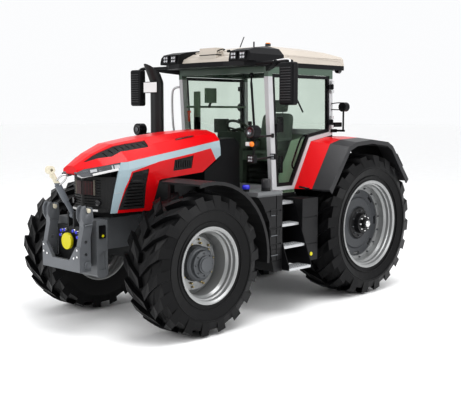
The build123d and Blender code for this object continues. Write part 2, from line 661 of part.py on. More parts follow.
for cutter in on_sides(rear_vent):
    panel = grille_skin & cutter
    for i in range(7):
        start = REAR + 475 * HOOD_FIT + i * SLOT_PITCH * HOOD_FIT
        panel -= block((start, start + SLOT), (-WIDE, WIDE), (1715, 1790))
    grille_parts.append(panel)
    shell -= cutter
for cutter in on_top(top_gap):
    panel = grille_skin & cutter
    for i in range(8):
        start = NOSE - 790 * HOOD_FIT + i * 2 * SLOT_PITCH * HOOD_FIT
        slot_in = 222 - i * 10.0
        slot_out = 300 - i * 10.0
        for side in (1, -1):
            panel -= block((start, start + SLOT), (side * slot_in, side * slot_out), (1700, 2200))
    grille_parts.append(panel)
    shell -= cutter
for cutter in on_top(louvre):
    shell -= cutter
for side in (1, -1):
    ear = block((HOOD_HINGE_X - 9, HOOD_HINGE_X + 15), (EAR_Y * side, (EAR_Y + 20) * side),
                (HOOD_HINGE_Z - 20, HOOD_HINGE_Z + 32))
    ear -= cross_rod(HOOD_HINGE_X, HOOD_HINGE_Z, ((EAR_Y - 25) * side, (EAR_Y + 75) * side),
                     HOOD_PIN + RUN_FIT)
    shell += ear
save("hood_shell", shell)
save("hood_band", *band_parts)
save("headlamps", *lamp_parts)

# Front grille: a bent plate with bars, and a bumper bar below it
BAR = 20.0
BAR_PITCH = 28.0
plate_plan = [(NOSE - 400 * HOOD_FIT, 420), (NOSE - 208 * HOOD_FIT, 220), (NOSE - 148 * HOOD_FIT, 0),
              (NOSE - 208 * HOOD_FIT, -220), (NOSE - 400 * HOOD_FIT, -420)]
inner_plan = [(px - 26, py) for px, py in reversed(plate_plan)]
front_plate = plan_plate(plate_plan + inner_plan, (HOOD_SILL_Z + 12, 1650))
for i in range(11):
    low = HOOD_SILL_Z + 64 + i * BAR_PITCH
    for side in (1, -1):
        front_plate -= plan_plate([(NOSE - 500 * HOOD_FIT, 25 * side), (NOSE, 25 * side), (NOSE, 232 * side),
                                   (NOSE - 500 * HOOD_FIT, 232 * side)], (low, low + BAR_PITCH - BAR))
bumper_plan = [(px + 20, py) for px, py in plate_plan] + inner_plan
front_plate += plan_plate(bumper_plan, (HOOD_SILL_Z + 12, HOOD_SILL_Z + 52))
front_plate = front_plate & hood_form(HOOD_WALL + RUN_FIT, REACH)
grille_parts.append(front_plate)
save("hood_grilles", *grille_parts)

# Cowl between hood and cab
COWL_HALF = 380.0
COWL_REAR = 1600.0
cowl = side_plate([(COWL_REAR, FLOOR_BOTTOM), (REAR + 215, FLOOR_BOTTOM), (REAR + 215, 1645),
                   (REAR - 9, 1782),
                   (REAR - 20, 2005), (COWL_REAR + 100, 2020), (COWL_REAR + 20, 1960)], (-COWL_HALF,
                                                                                         COWL_HALF))
cowl -= block((GEARBOX_FRONT - 5, REAR + 325), (-ENGINE_HALF - 12, ENGINE_HALF + 12),
              (RAIL_TOP - 20, ENGINE_TOP))
for side in (1, -1):
    web = side_plate([(REAR - 40, 1980), (REAR + 27, 1980), (REAR + 27, 2000),
                      (HOOD_HINGE_X + 16, HOOD_HINGE_Z),
                      (HOOD_HINGE_X - 16, HOOD_HINGE_Z), (REAR - 7, 2005), (REAR - 40, 2005)],
                     ((EAR_Y + 27) * side, (EAR_Y + 47) * side))
    web += cross_rod(HOOD_HINGE_X, HOOD_HINGE_Z, ((EAR_Y + 27) * side, (EAR_Y + 47) * side), 16)
    web += cross_rod(HOOD_HINGE_X, HOOD_HINGE_Z, ((EAR_Y - 5) * side, (EAR_Y + 40) * side), HOOD_PIN)
    cowl += web
save("cowl", cowl)

STACK_X = 2085.0
STACK_Y = -560.0
STACK_RADIUS = 80.0
STACK_BEND_Z = 2680.0
PIPE_RADIUS = 76.0
PIPE_WALL = 10.0
PIPE_LEAN = 25.5
PIPE_LENGTH = 400.0
PIPE_MOUTH_DEPTH = 110.0
lean_x = math.sin(math.radians(PIPE_LEAN))
lean_z = math.cos(math.radians(PIPE_LEAN))


def up_pipe(length):
    """A point on the leaning tail pipe's axis, measured from the bend."""
    return (STACK_X + lean_x * length, STACK_Y, STACK_BEND_Z + lean_z * length)


exhaust = upright(STACK_X, STACK_Y, (1480, STACK_BEND_Z), STACK_RADIUS)
exhaust += Pos(STACK_X, STACK_Y, STACK_BEND_Z) * Sphere(PIPE_RADIUS)
exhaust += rod(up_pipe(0), up_pipe(PIPE_LENGTH), PIPE_RADIUS)
exhaust -= rod(up_pipe(PIPE_MOUTH_DEPTH), up_pipe(PIPE_LENGTH + 10), PIPE_RADIUS - PIPE_WALL)
exhaust -= side_plate([(STACK_X - 185, STACK_BEND_Z - 8), (STACK_X + 265, STACK_BEND_Z + 266),
                       (STACK_X + 265, STACK_BEND_Z + 520), (STACK_X - 185, STACK_BEND_Z + 520)],
                      (STACK_Y - 140, STACK_Y + 140))
exhaust += block((STACK_X - 95, STACK_X + 65), (STACK_Y + 60, -COWL_HALF), (1500, 1600))
save("exhaust_stack", exhaust)

# Cab frame: side rings joined by headers and sills
DOOR_TOP_X = 1545.0
DOOR_SILL_X = 1445.0
FENDER_FOOT_X = 1048.0
FENDER_KNEE = (735.0, 1965.0)
CAB_REAR_LOW = (300.0, 2035.0)
CAB_REAR_TOP_X = 315.0
side_outline = [(DOOR_TOP_X, ROOF_BOTTOM), (DOOR_SILL_X, SILL_Z), (FENDER_FOOT_X, SILL_Z), FENDER_KNEE,
                CAB_REAR_LOW,
                (CAB_REAR_TOP_X, ROOF_BOTTOM)]
bands = [A_PILLAR, SILL, DIAGONAL, DIAGONAL, C_PILLAR, HEADER]
HINGE_HEIGHTS = (CAB_REAR_LOW[1] + 85, ROOF_BOTTOM - 290)
HINGE_STEP = HINGE_LUG + HINGE_LEAF + 2 * MOVE_GAP
ring = side_plate(side_outline, (CAB_SIDE_IN, CAB_SIDE_OUT))
ring -= side_plate(inset(side_outline, bands), (CAB_SIDE_IN - 10, CAB_SIDE_OUT + 10))
for low in HINGE_HEIGHTS:
    for part_low in (low, low + HINGE_STEP):
        lug = upright(HINGE_X, HINGE_Y, (part_low, part_low + HINGE_LUG), HINGE_BARREL)
        lug += block((HINGE_X - 40, HINGE_X + HINGE_BARREL), (CAB_SIDE_OUT - 5, HINGE_Y),
                     (part_low, part_low + HINGE_LUG))
        lug -= upright(HINGE_X, HINGE_Y, (part_low - 5, part_low + HINGE_LUG + 5), HINGE_PIN + RUN_FIT)
        ring += lug
cab_frame = both(ring)
header_low = ROOF_BOTTOM - HEADER + 10
cab_frame += block((DOOR_TOP_X - 90, DOOR_TOP_X - 5), (-CAB_SIDE_IN, CAB_SIDE_IN), (header_low, ROOF_BOTTOM))
cab_frame += block((CAB_REAR_TOP_X, CAB_REAR_TOP_X + 80), (-CAB_SIDE_IN, CAB_SIDE_IN),
                   (header_low, ROOF_BOTTOM))
cab_frame += block((DOOR_SILL_X - 70, DOOR_SILL_X + 1), (-CAB_SIDE_IN, CAB_SIDE_IN), (SILL_Z, SILL_Z + 65))
cab_frame += block((CAB_REAR_LOW[0] + 2, CAB_REAR_LOW[0] + 72), (-CAB_SIDE_IN, CAB_SIDE_IN),
                   (CAB_REAR_LOW[1], CAB_REAR_LOW[1] + 70))
save("cab_frame", cab_frame)

# Cab floor: pan, wheel arches, tub walls and rear wall
TUB_IN = 440.0
TUB_OUT = 480.0
MOUNT_RADIUS = 55.0
floor = block((FENDER_FOOT_X - 8, DOOR_SILL_X + 5), (-CAB_SIDE_OUT, CAB_SIDE_OUT), (FLOOR_BOTTOM, FLOOR_TOP))
floor += block((DOOR_SILL_X - 70, DOOR_SILL_X + 1), (-CAB_SIDE_OUT, CAB_SIDE_OUT), (FLOOR_TOP, SILL_Z))
floor += block((CAB_REAR_LOW[0], FENDER_FOOT_X + 52), (-TUB_OUT, TUB_OUT), (FLOOR_BOTTOM, FLOOR_TOP))
slope = [(FENDER_FOOT_X, SILL_Z), FENDER_KNEE, CAB_REAR_LOW, (CAB_REAR_LOW[0], CAB_REAR_LOW[1] - 40),
         (FENDER_KNEE[0] - 23, FENDER_KNEE[1] - 37), (FENDER_FOOT_X - 28, FLOOR_TOP),
         (FENDER_FOOT_X, FLOOR_TOP)]
floor += both(side_plate(slope, (TUB_IN, CAB_SIDE_OUT)))
tub = [(FENDER_FOOT_X - 23, FLOOR_TOP - 12), (FENDER_KNEE[0] - 20, FENDER_KNEE[1] - 35),
       (CAB_REAR_LOW[0], CAB_REAR_LOW[1] - 35), (CAB_REAR_LOW[0], FLOOR_TOP - 12)]
floor += both(side_plate(tub, (TUB_IN, TUB_OUT)))
floor += block((CAB_REAR_LOW[0], CAB_REAR_LOW[0] + 40), (-TUB_OUT, TUB_OUT), (FLOOR_BOTTOM, CAB_REAR_LOW[1]))
for x, z in ((450, 1260), (1390, 1190)):
    for y in (-180, 180):
        floor += upright(x, y, (z, FLOOR_BOTTOM + 5), MOUNT_RADIUS)
save("cab_floor", floor)

windscreen = side_plate([(DOOR_SILL_X + 5, SILL_Z + 65), (DOOR_TOP_X - 5, header_low),
                         (DOOR_TOP_X - 5 - GLASS, header_low),
                         (DOOR_SILL_X + 5 - GLASS, SILL_Z + 65)], (-CAB_SIDE_IN, CAB_SIDE_IN))
save("windscreen", windscreen)
rear_window = block((CAB_REAR_TOP_X + 3, CAB_REAR_TOP_X + 3 + GLASS), (-CAB_SIDE_IN, CAB_SIDE_IN),
                    (CAB_REAR_LOW[1] + 70, header_low))
save("rear_window", rear_window)

# Doors, hinged at the rear
door_out = inset(side_outline, [band + MOVE_GAP for band in bands])
door_in = inset(side_outline, [band + MOVE_GAP + DOOR_FRAME for band in bands])
door = side_plate(door_out, (DOOR_IN, DOOR_OUT))
door -= side_plate(door_in, (DOOR_IN - 10, DOOR_OUT + 10))
for low in HINGE_HEIGHTS:
    start = low + HINGE_LUG + MOVE_GAP
    leaf = (start, start + HINGE_LEAF)
    door += upright(HINGE_X, HINGE_Y, leaf, HINGE_BARREL)
    door += upright(HINGE_X, HINGE_Y, (start - 36, start + HINGE_LEAF + 36), HINGE_PIN)
    door += block((HINGE_X, HINGE_X + 66), (HINGE_Y - 16, HINGE_Y), leaf)
    door += block((HINGE_X + 30, HINGE_X + 66), (DOOR_OUT - 8, HINGE_Y), leaf)
HANDLE_Z = 2172.0
HANDLE_X = DOOR_SILL_X + (DOOR_TOP_X - DOOR_SILL_X) * (HANDLE_Z - SILL_Z) / (ROOF_BOTTOM - SILL_Z) - A_PILLAR - 26
door += block((HANDLE_X - 16, HANDLE_X + 16), (DOOR_OUT - 6, DOOR_OUT + 32), (HANDLE_Z - 12, HANDLE_Z + 12))
door += block((HANDLE_X - 24, HANDLE_X + 14), (DOOR_OUT + 22, DOOR_OUT + 40), (HANDLE_Z - 90, HANDLE_Z + 20))
save("door_left", door)
save("door_right", mirrored(door))
pane = side_plate(door_in, (DOOR_IN + 12, DOOR_IN + 12 + GLASS))
save("door_glass_left", pane)
save("door_glass_right", mirrored(pane))

# Roof: side and front outlines crossed, with lamp pods at the front corners
ROOF_FRONT_X = 1790.0
ROOF_REAR_X = 85.0
SHOULDER_Z = ROOF_TOP - 123.0
across = [(-ROOF_HALF, ROOF_FRAME_TOP), (-ROOF_HALF, SHOULDER_Z), (-ROOF_HALF + 75, ROOF_TOP - 48),
          (-ROOF_HALF + 265, ROOF_TOP), (ROOF_HALF - 265, ROOF_TOP), (ROOF_HALF - 75, ROOF_TOP - 48),
          (ROOF_HALF, SHOULDER_Z), (ROOF_HALF, ROOF_FRAME_TOP)]
along = [(ROOF_FRONT_X, ROOF_FRAME_TOP), (ROOF_FRONT_X - 30, ROOF_TOP - 148),
         (ROOF_FRONT_X - 190, ROOF_TOP - 78),
         (POD_REAR_X, ROOF_TOP), (700, ROOF_TOP - 8), (ROOF_REAR_X + 25, ROOF_TOP - 93),
         (ROOF_REAR_X, ROOF_FRAME_TOP)]
crown = cross_plate(across, (ROOF_REAR_X - 50, ROOF_FRONT_X + 150))
roof = side_plate(along, (-ROOF_HALF, ROOF_HALF)) & crown
pod_side = [(POD_REAR_X, ROOF_FRAME_TOP), (ROOF_FRONT_X + 55, ROOF_FRAME_TOP),
            (ROOF_FRONT_X + 58, ROOF_FRAME_TOP + 20),
            (ROOF_FRONT_X + 35, ROOF_TOP - 84), (ROOF_FRONT_X - 90, ROOF_TOP - 52), (POD_REAR_X, ROOF_TOP)]
POD_LAMPS = (515.0, 655.0)
POD_LAMP_HALF = 48.0
LAMP_BACK = ROOF_FRONT_X + 18.0
pods = []
pod_lamps = []
for side in (1, -1):
    pod = side_plate(pod_side, (POD_IN_Y * side, ROOF_HALF * side)) & crown
    roof -= block((POD_REAR_X, ROOF_FRONT_X + 100), (POD_IN_Y * side, (ROOF_HALF + 50) * side),
                  (ROOF_FRAME_TOP - 10, ROOF_TOP + 50))
    for y in POD_LAMPS:
        lamp = block((LAMP_BACK, ROOF_FRONT_X + 64), ((y - POD_LAMP_HALF) * side, (y + POD_LAMP_HALF) * side),
                     (ROOF_FRAME_TOP + 14, ROOF_FRAME_TOP + 14 + 2 * POD_LAMP_HALF))
        pod -= lamp
        pod_lamps.append(lamp)
    pods.append(pod)
save("roof_panel", roof)
VISOR = 117.0
roof_frame = plan_plate([(ROOF_REAR_X, -ROOF_HALF), (ROOF_FRONT_X - 40, -ROOF_HALF),
                         (ROOF_FRONT_X + 25, -ROOF_HALF + 120),
                         (ROOF_FRONT_X + 95, -380), (ROOF_FRONT_X + VISOR, 0), (ROOF_FRONT_X + 95, 380),
                         (ROOF_FRONT_X + 25, ROOF_HALF - 120), (ROOF_FRONT_X - 40, ROOF_HALF),
                         (ROOF_REAR_X, ROOF_HALF)], (ROOF_BOTTOM, ROOF_FRAME_TOP))
roof_frame -= block((CAB_REAR_TOP_X + 80, DOOR_TOP_X - 90), (-CAB_SIDE_IN + 60, CAB_SIDE_IN - 60),
                    (ROOF_BOTTOM - 10, ROOF_FRAME_TOP - 15))
for pod in pods:
    roof_frame += pod
save("roof_frame", roof_frame)

# Guidance receiver, antenna and beacon on the roof
receiver = block((1635, 1765), (-140, 140), (ROOF_TOP - 160, ROOF_TOP - 26))
receiver += cross_rod(1700, ROOF_TOP - 72, (-290, 290), 9)
receiver = receiver - roof
antenna = rod((1580, 300, ROOF_TOP - 130), (1451, 300, ROOF_TOP + 106), 6) - roof
stub = upright(1330, 350, (ROOF_TOP - 60, ROOF_TOP + 55), 9) - roof
beacon = upright(1133, 400, (ROOF_TOP - 30, ROOF_TOP + 40), 34) - roof
save("roof_receiver", receiver, antenna, stub, beacon)

# Inside the cab
CUSHION_TOP = 1830.0
CUSHION_BOTTOM = 1700.0
seat = block((560, 860), (-180, 180), (FLOOR_TOP, CUSHION_BOTTOM))
seat += block((500, 980), (-250, 250), (CUSHION_BOTTOM, CUSHION_TOP))
seat += side_plate([(500, CUSHION_TOP), (620, CUSHION_TOP), (520, 2480), (420, 2480)], (-240, 240))
save("seat", seat)
WHEEL_CENTRE = Vector(1192, 0, 2088)
WHEEL_AXIS = Vector(-0.67, 0, 0.74).normalized()
WHEEL_RADIUS = 190.0
WHEEL_GRIP = 16.0
wheel_down = WHEEL_AXIS.cross(Vector(0, 1, 0))
dash = block((1290, 1370), (-130, 130), (FLOOR_TOP, 1900))
dash += side_plate([(1230, 1880), (1400, 1880), (1400, 2080), (1330, 2080)], (-200, 200))
dash += rod((1290, 0, 1980), WHEEL_CENTRE, 26)
dash += Solid.make_torus(WHEEL_RADIUS, WHEEL_GRIP, Plane(origin=WHEEL_CENTRE, z_dir=WHEEL_AXIS))
dash += Solid.make_cylinder(52, 18, Plane(origin=WHEEL_CENTRE - WHEEL_AXIS * 9, z_dir=WHEEL_AXIS))
for turn in (90, 200, 340):
    spoke = Vector(0, 1, 0) * math.cos(math.radians(turn)) + wheel_down * math.sin(math.radians(turn))
    dash += rod(WHEEL_CENTRE, WHEEL_CENTRE + spoke * WHEEL_RADIUS, 11)
save("dash", dash)
console = block((620, 1080), (-440, -260), (1900, 1980))
console += block((640, 760), (-440, -300), (FLOOR_TOP, 1900))
console += rod((1050, -370, 1960), (1115, -400, 2120), 14)
console += block((1105, 1135), (-530, -290), (2060, 2235))
save("armrest_console", console)

# Mirrors on arms from the roof frame
MIRROR_Y = (1180.0, 1390.0)
MIRROR_LOW = 2400.0
MIRROR_ROUND = 28.0
mirror_arm_z = (ROOF_BOTTOM + ROOF_FRAME_TOP) / 2
mirror = fillet(block((1735, 1835), MIRROR_Y, (MIRROR_LOW, mirror_arm_z - 12)).edges(), MIRROR_ROUND)
arm_y = (MIRROR_Y[0] + MIRROR_Y[1]) / 2
mirror += cross_rod(1735, mirror_arm_z, (ROOF_HALF, arm_y), 17)
mirror += Pos(1735, arm_y, mirror_arm_z) * Sphere(17)
mirror += rod((1735, arm_y, mirror_arm_z), (1785, arm_y, mirror_arm_z - 60), 17)
save("mirrors", mirror, mirrored(mirror))

# Side tanks
tank_run = TANK_FRONT - TANK_REAR
BOX_FRONT = TANK_REAR + tank_run * BOX_SHARE
STEP_FRONT = BOX_FRONT + tank_run * STEP_SHARE
OUT_START = CAB_SIDE_OUT + 10.0
TANK_BRACKET = (1200.0, 1600.0)
tank = block((TANK_REAR, TANK_FRONT), (TANK_IN_Y, TANK_MID_Y), (TANK_BOTTOM, TANK_TOP))
outer_tank = side_plate(
    [(STEP_FRONT, TANK_BOTTOM), (TANK_FRONT - 68, TANK_BOTTOM), (TANK_FRONT - 36, 642), (TANK_FRONT, 900),
     (TANK_FRONT + 12, 1100), (TANK_FRONT + 57, 1190), (TANK_FRONT + 122, TANK_TOP),
     (TANK_FRONT + 205, DECK_TOP - 45),
     (TANK_FRONT + 205, DECK_TOP), (STEP_FRONT, DECK_TOP)], (OUT_START, TANK_OUT_Y))
GROOVE = 9.0
for low in (640, 830, 1020, 1210, DECK_TOP - 50):
    outer_tank -= block((STEP_FRONT + 20, TANK_FRONT + 250), (TANK_OUT_Y - GROOVE, TANK_OUT_Y + 10),
                        (low, low + 16))
outer_tank -= block((STEP_FRONT + 96, STEP_FRONT + 108), (TANK_OUT_Y - GROOVE, TANK_OUT_Y + 10), (656, 1390))
tank += outer_tank
tank += upright(STEP_FRONT + 170, TANK_OUT_Y - 100, (DECK_TOP - 10, DECK_TOP + 56), 52)
rear_box = block((TANK_REAR, BOX_FRONT), (OUT_START, BOX_OUT_Y), (TANK_BOTTOM + 40, TANK_TOP + 10))
for low in (760, 1080):
    rear_box -= block((TANK_REAR + 24, BOX_FRONT - 24), (BOX_OUT_Y - GROOVE, BOX_OUT_Y + 10), (low, low + 14))
tank += rear_box
tank += block(TANK_BRACKET, (GEARBOX_HALF, TANK_IN_Y + 10), (700, 1000))
save("fuel_tank", tank)
right_tank = block((TANK_REAR, TANK_FRONT), (-BOX_OUT_Y, -TANK_IN_Y), (TANK_BOTTOM + 20, TANK_TOP))
right_tank += block((STEP_FRONT, TANK_FRONT), (-BOX_OUT_Y, -600), (TANK_TOP - 20, DECK_TOP))
right_tank += block(TANK_BRACKET, (-TANK_IN_Y - 10, -GEARBOX_HALF), (700, 1000))
for low in (700, 900, 1100):
    right_tank -= block((TANK_REAR + 30, TANK_FRONT - 30), (-BOX_OUT_Y - 10, -BOX_OUT_Y + GROOVE),
                        (low, low + 16))
save("right_tank", right_tank)

# Steps: a frame of two cheeks and a back panel, and treads between the cheeks
STEP_IN = TANK_MID_Y
TREADS = ((1265, 10, 145), (1020, 70, 235), (780, 150, 325), (535, 220, 420))
cheek = [(STEP_IN, 530), (STEP_IN + 420, 530), (STEP_IN + 420, 575), (STEP_IN + 150, 1285), (STEP_IN, 1285)]
steps = cross_plate(cheek, (BOX_FRONT, BOX_FRONT + CHEEK)) + cross_plate(cheek,
                                                                         (STEP_FRONT - CHEEK, STEP_FRONT))
steps += block((BOX_FRONT, STEP_FRONT), (STEP_IN, STEP_IN + 10), (530, 1285))
save("steps", steps)
treads = []
for level, low, high in TREADS:
    treads.append(block((BOX_FRONT + CHEEK, STEP_FRONT - CHEEK), (STEP_IN + low, STEP_IN + high),
                        (level - TREAD / 2, level + TREAD / 2)))
save("step_treads", *treads)

# Rear fenders: red inner part and charcoal extension
inner_line = [(FENDER_FOOT_X - 2, SILL_Z + 2), (FENDER_KNEE[0] - 2, FENDER_KNEE[1] - 2), (430, 2012),
              (70, 2012),
              (-280, 1965), (-390, 1905), (-790, 1434)]
middle_line = [(985, 1404), (640, 1935), (430, 1985), (70, 2000), (-290, 1955), (-395, 1900), (-790, 1434)]
outer_line = [(930, 1403), (545, 1905), (400, 1955), (65, 1980), (-290, 1940), (-400, 1885), (-787, 1434)]


def fender_ring(line, drop):
    """A fender line with its underside a little lower and nearer the wheel."""
    return line + [(px * (1 - drop / 880), pz - drop) for px, pz in reversed(line)]


fender_red = side_loft([(CAB_SIDE_OUT, fender_ring(inner_line, FENDER_WALL)),
                        (FENDER_SPLIT_Y, fender_ring(middle_line, FENDER_WALL))])
inner_part = side_plate(fender_ring(inner_line, FENDER_WALL), (500, CAB_SIDE_OUT + 1))
inner_part -= block((200, 1200), (400, 900), (1200, 2200))
fender_red += inner_part
save("rear_fenders", fender_red, mirrored(fender_red))
fender_black = side_loft([(FENDER_SPLIT_Y, fender_ring(middle_line, FENDER_WALL)),
                          (FENDER_OUT_Y, fender_ring(outer_line, FENDER_WALL))])
fender_black += side_plate(fender_ring(outer_line, FENDER_LIP), (FENDER_OUT_Y - 16, FENDER_OUT_Y))
save("fender_extensions", fender_black, mirrored(fender_black))

# Work lamps: a rail with three lamps ahead of each front pillar, pod lamps, and lamps behind
RAIL_X = 1985.0
RAIL_Y = 955.0
RAIL_BAR = 12.0
FOOT = 15.0
lamp_sets = []
for side in (1, -1):
    group = upright(RAIL_X, RAIL_Y * side, (1760, 2160), RAIL_BAR)
    for z in (1800, 2050):
        group += block((DOOR_SILL_X - 8, DOOR_SILL_X + 24),
                       (CAB_SIDE_OUT * side, (CAB_SIDE_OUT + FOOT) * side), (z - 24, z + 24))
        group += rod((DOOR_SILL_X + 8, (CAB_SIDE_OUT + FOOT) * side, z), (RAIL_X, RAIL_Y * side, z), RAIL_BAR)
    group += rod((RAIL_X - 20, (RAIL_Y + 19) * side, 2105), (RAIL_X + 78, (RAIL_Y + 19) * side, 2105), 74)
    group += block((RAIL_X + 2, RAIL_X + 62), ((RAIL_Y - 62) * side, (RAIL_Y + 70) * side), (1945, 2000))
    group += block((RAIL_X + 2, RAIL_X + 52), ((RAIL_Y - 50) * side, (RAIL_Y + 50) * side), (1765, 1850))
    lamp_sets.append(group)
    tail = [(-520, 1740), (-660, 1577)]
    outward = [(px - 46, pz + 40) for px, pz in reversed(tail)]
    rear_lamp = side_plate(tail + outward, (1030 * side, 1170 * side))
    lamp_sets.append(rear_lamp - (fender_black if side == 1 else mirrored(fender_black)))
    bracket = block((226, CAB_REAR_LOW[0] + 40), (CAB_SIDE_OUT * side, (CAB_SIDE_OUT + 14) * side),
                    (2066, 2108))
    bracket += block((226, 258), (CAB_SIDE_OUT * side, (CAB_SIDE_OUT + 140) * side), (2076, 2100))
    bracket += upright(242, (CAB_SIDE_OUT + 124) * side, (2086, 2350), 11)
    bracket += rod((190, (CAB_SIDE_OUT + 124) * side, 2386), (270, (CAB_SIDE_OUT + 124) * side, 2386), 58)
    lamp_sets.append(bracket)
save("work_lamps", *lamp_sets, *pod_lamps)

# Front linkage
LIFT_FRAME_FRONT = FRAME_FRONT + 60.0
LIFT_FRAME_HALF = 255.0
LIFT_FRAME_LOW = FRONT_LIFT_Z - 36.0
lift_frame = block((FRAME_FRONT, LIFT_FRAME_FRONT), (-LIFT_FRAME_HALF, LIFT_FRAME_HALF),
                   (LIFT_FRAME_LOW, 1140))
for side in (1, -1):
    lift_frame += block((LIFT_FRAME_FRONT - 20, FRONT_LIFT_X), (200 * side, LIFT_FRAME_HALF * side),
                        (FRONT_LIFT_Z - 36, FRONT_LIFT_Z + LIFT_LUG))
    lift_frame += cross_rod(FRONT_LIFT_X, FRONT_LIFT_Z, (200 * side, LIFT_FRAME_HALF * side), LIFT_LUG)
    lift_frame += block((FRAME_FRONT, FRONT_LINK_X + 35), (36 * side, 60 * side), (1130, FRONT_LINK_Z + 40))
lift_frame += cross_rod(FRONT_LIFT_X, FRONT_LIFT_Z, (-YOKE_OUT - 15, YOKE_OUT + 15), LIFT_PIN)
lift_frame += cross_rod(FRONT_LINK_X, FRONT_LINK_Z, (-70, 70), LINK_PIN)
lift_frame += rod((LIFT_FRAME_FRONT - 10, 0, 985), (LIFT_FRAME_FRONT + 40, 0, 985), 62)
lift_frame += block((FRAME_FRONT, LIFT_FRAME_FRONT - 20), (-60, 60), (1130, 1150))
save("front_lift_frame", lift_frame)

LX = FRONT_LIFT_X
arm_line = [(LX - 50, 700), (LX + 90, 700), (LX + 90, 900), (LX + 35, 1160), (LX + 45, 1280), (LX + 18, 1375),
            (LX - 2, 1372), (LX - 6, 1322), (LX - 20, 1302), (LX - 42, 1302), (LX - 56, 1322),
            (LX - 62, 1362),
            (LX - 80, 1352), (LX - 90, 1250), (LX - 50, 1050)]
yoke = both(side_plate(arm_line, (YOKE_IN, YOKE_OUT)))
yoke += cross_plate([(-YOKE_OUT, 700), (YOKE_OUT, 700), (YOKE_OUT, 960), (YOKE_IN, 960), (150, 810),
                     (-150, 810),
                     (-YOKE_IN, 960), (-YOKE_OUT, 960)], (LX + 53, LX + 90))
yoke -= cross_rod(FRONT_LIFT_X, FRONT_LIFT_Z, (-YOKE_OUT - 50, YOKE_OUT + 50), LIFT_PIN + RUN_FIT)
for z in (880, 1010):
    yoke -= cross_rod(LX + 10, z, (-YOKE_OUT - 50, YOKE_OUT + 50), 17)
save("front_lift_yoke", yoke)

LINK_RUN = Vector(math.sin(math.radians(FRONT_LINK_LEAN)), 0, math.cos(math.radians(FRONT_LINK_LEAN)))
LINK_BAR = 26.0
LINK_BOSS = 34.0
LINK_HALF = 28.0
link_base = Vector(FRONT_LINK_X, 0, FRONT_LINK_Z)
link_tip = link_base + LINK_RUN * FRONT_LINK_LENGTH
top_link = rod(link_base + LINK_RUN * 20, link_tip, LINK_BAR)
top_link += rod(link_base + LINK_RUN * 180, link_base + LINK_RUN * 380, LINK_BAR + 9)
top_link += cross_rod(FRONT_LINK_X, FRONT_LINK_Z, (-LINK_HALF, LINK_HALF), LINK_BOSS)
top_link += cross_rod(link_tip.X, link_tip.Z, (-FRONT_EYE_HALF, FRONT_EYE_HALF), FRONT_LINK_EYE)
top_link -= cross_rod(link_tip.X, link_tip.Z, (-FRONT_EYE_HALF - 10, FRONT_EYE_HALF + 10), LINK_EYE_BORE)
top_link -= cross_rod(FRONT_LINK_X, FRONT_LINK_Z, (-LINK_HALF - 10, LINK_HALF + 10), LINK_PIN + RUN_FIT)
save("front_top_link", top_link)

# Rear linkage
hitch = block((-520, GEARBOX_REAR), (-200, 200), (560, 760))
hitch += block((-640, -100), (-60, 60), (400, 450))
hitch += block((-520, GEARBOX_REAR), (-80, 80), (440, 570))
hitch += block((-470, GEARBOX_REAR), (-60, 60), (880, 1140))
hitch -= block((-480, GEARBOX_REAR - 5), (-34, 34), (1010, 1200))
hitch -= upright(-590, 0, (300, 500), DRAWBAR_HOLE)
hitch += rod((GEARBOX_REAR, 0, PTO_Z), (GEARBOX_REAR - PTO_LENGTH, 0, PTO_Z), PTO_RADIUS)
for side in (1, -1):
    hitch += block((LOWER_X - 50, LOWER_X + 50), (GEARBOX_HALF * side, (GEARBOX_HALF + 26) * side),
                   (LOWER_Z - 50, LOWER_Z + 130))
    hitch += cross_rod(LOWER_X, LOWER_Z, ((GEARBOX_HALF + 20) * side, 345 * side), LOWER_PIN)
    hitch += block((ROCKER_X - 50, GEARBOX_REAR), (120 * side, 190 * side), (1040, ROCKER_Z + 60))
hitch -= cross_rod(ROCKER_X, ROCKER_Z, (-330, 330), ROCKER_SHAFT + RUN_FIT)
hitch += cross_rod(TOP_LINK_X, TOP_LINK_Z, (-60, 60), LINK_PIN)
save("rear_hitch_frame", hitch)

rocker_x = ROCKER_X - ROCKER_LENGTH
rocker_z = ROCKER_Z - ROCKER_DROP
rocker = side_plate([(ROCKER_X + 55, ROCKER_Z - 45), (ROCKER_X + 55, ROCKER_Z + 50),
                     (rocker_x - 30, rocker_z + 35),
                     (rocker_x - 30, rocker_z - 30)], (225, 275))
rockers = both(rocker)
rockers += cross_rod(ROCKER_X, ROCKER_Z, (-300, 300), ROCKER_SHAFT)
for side in (1, -1):
    rockers += cross_rod(rocker_x, rocker_z, (220 * side, 345 * side), ROCKER_PIN)
save("rear_rockers", rockers)

ARM_Y = (290.0, 326.0)
ARM_MID = (ARM_Y[0] + ARM_Y[1]) / 2
CLEVIS = 38.0
ball_x = LOWER_X - LOWER_LENGTH
lower = block((ball_x, LOWER_X + 45), ARM_Y, (LOWER_Z - 45, LOWER_Z + 45))
lower += cross_rod(ball_x, LOWER_Z, (ARM_Y[0] - 10, ARM_Y[1] + 10), LOWER_EYE)
lower -= cross_rod(ball_x, LOWER_Z, (200, 400), BALL_BORE)
lower -= cross_rod(LOWER_X, LOWER_Z, (200, 400), LOWER_PIN + RUN_FIT)
save("lower_links", lower, mirrored(lower))

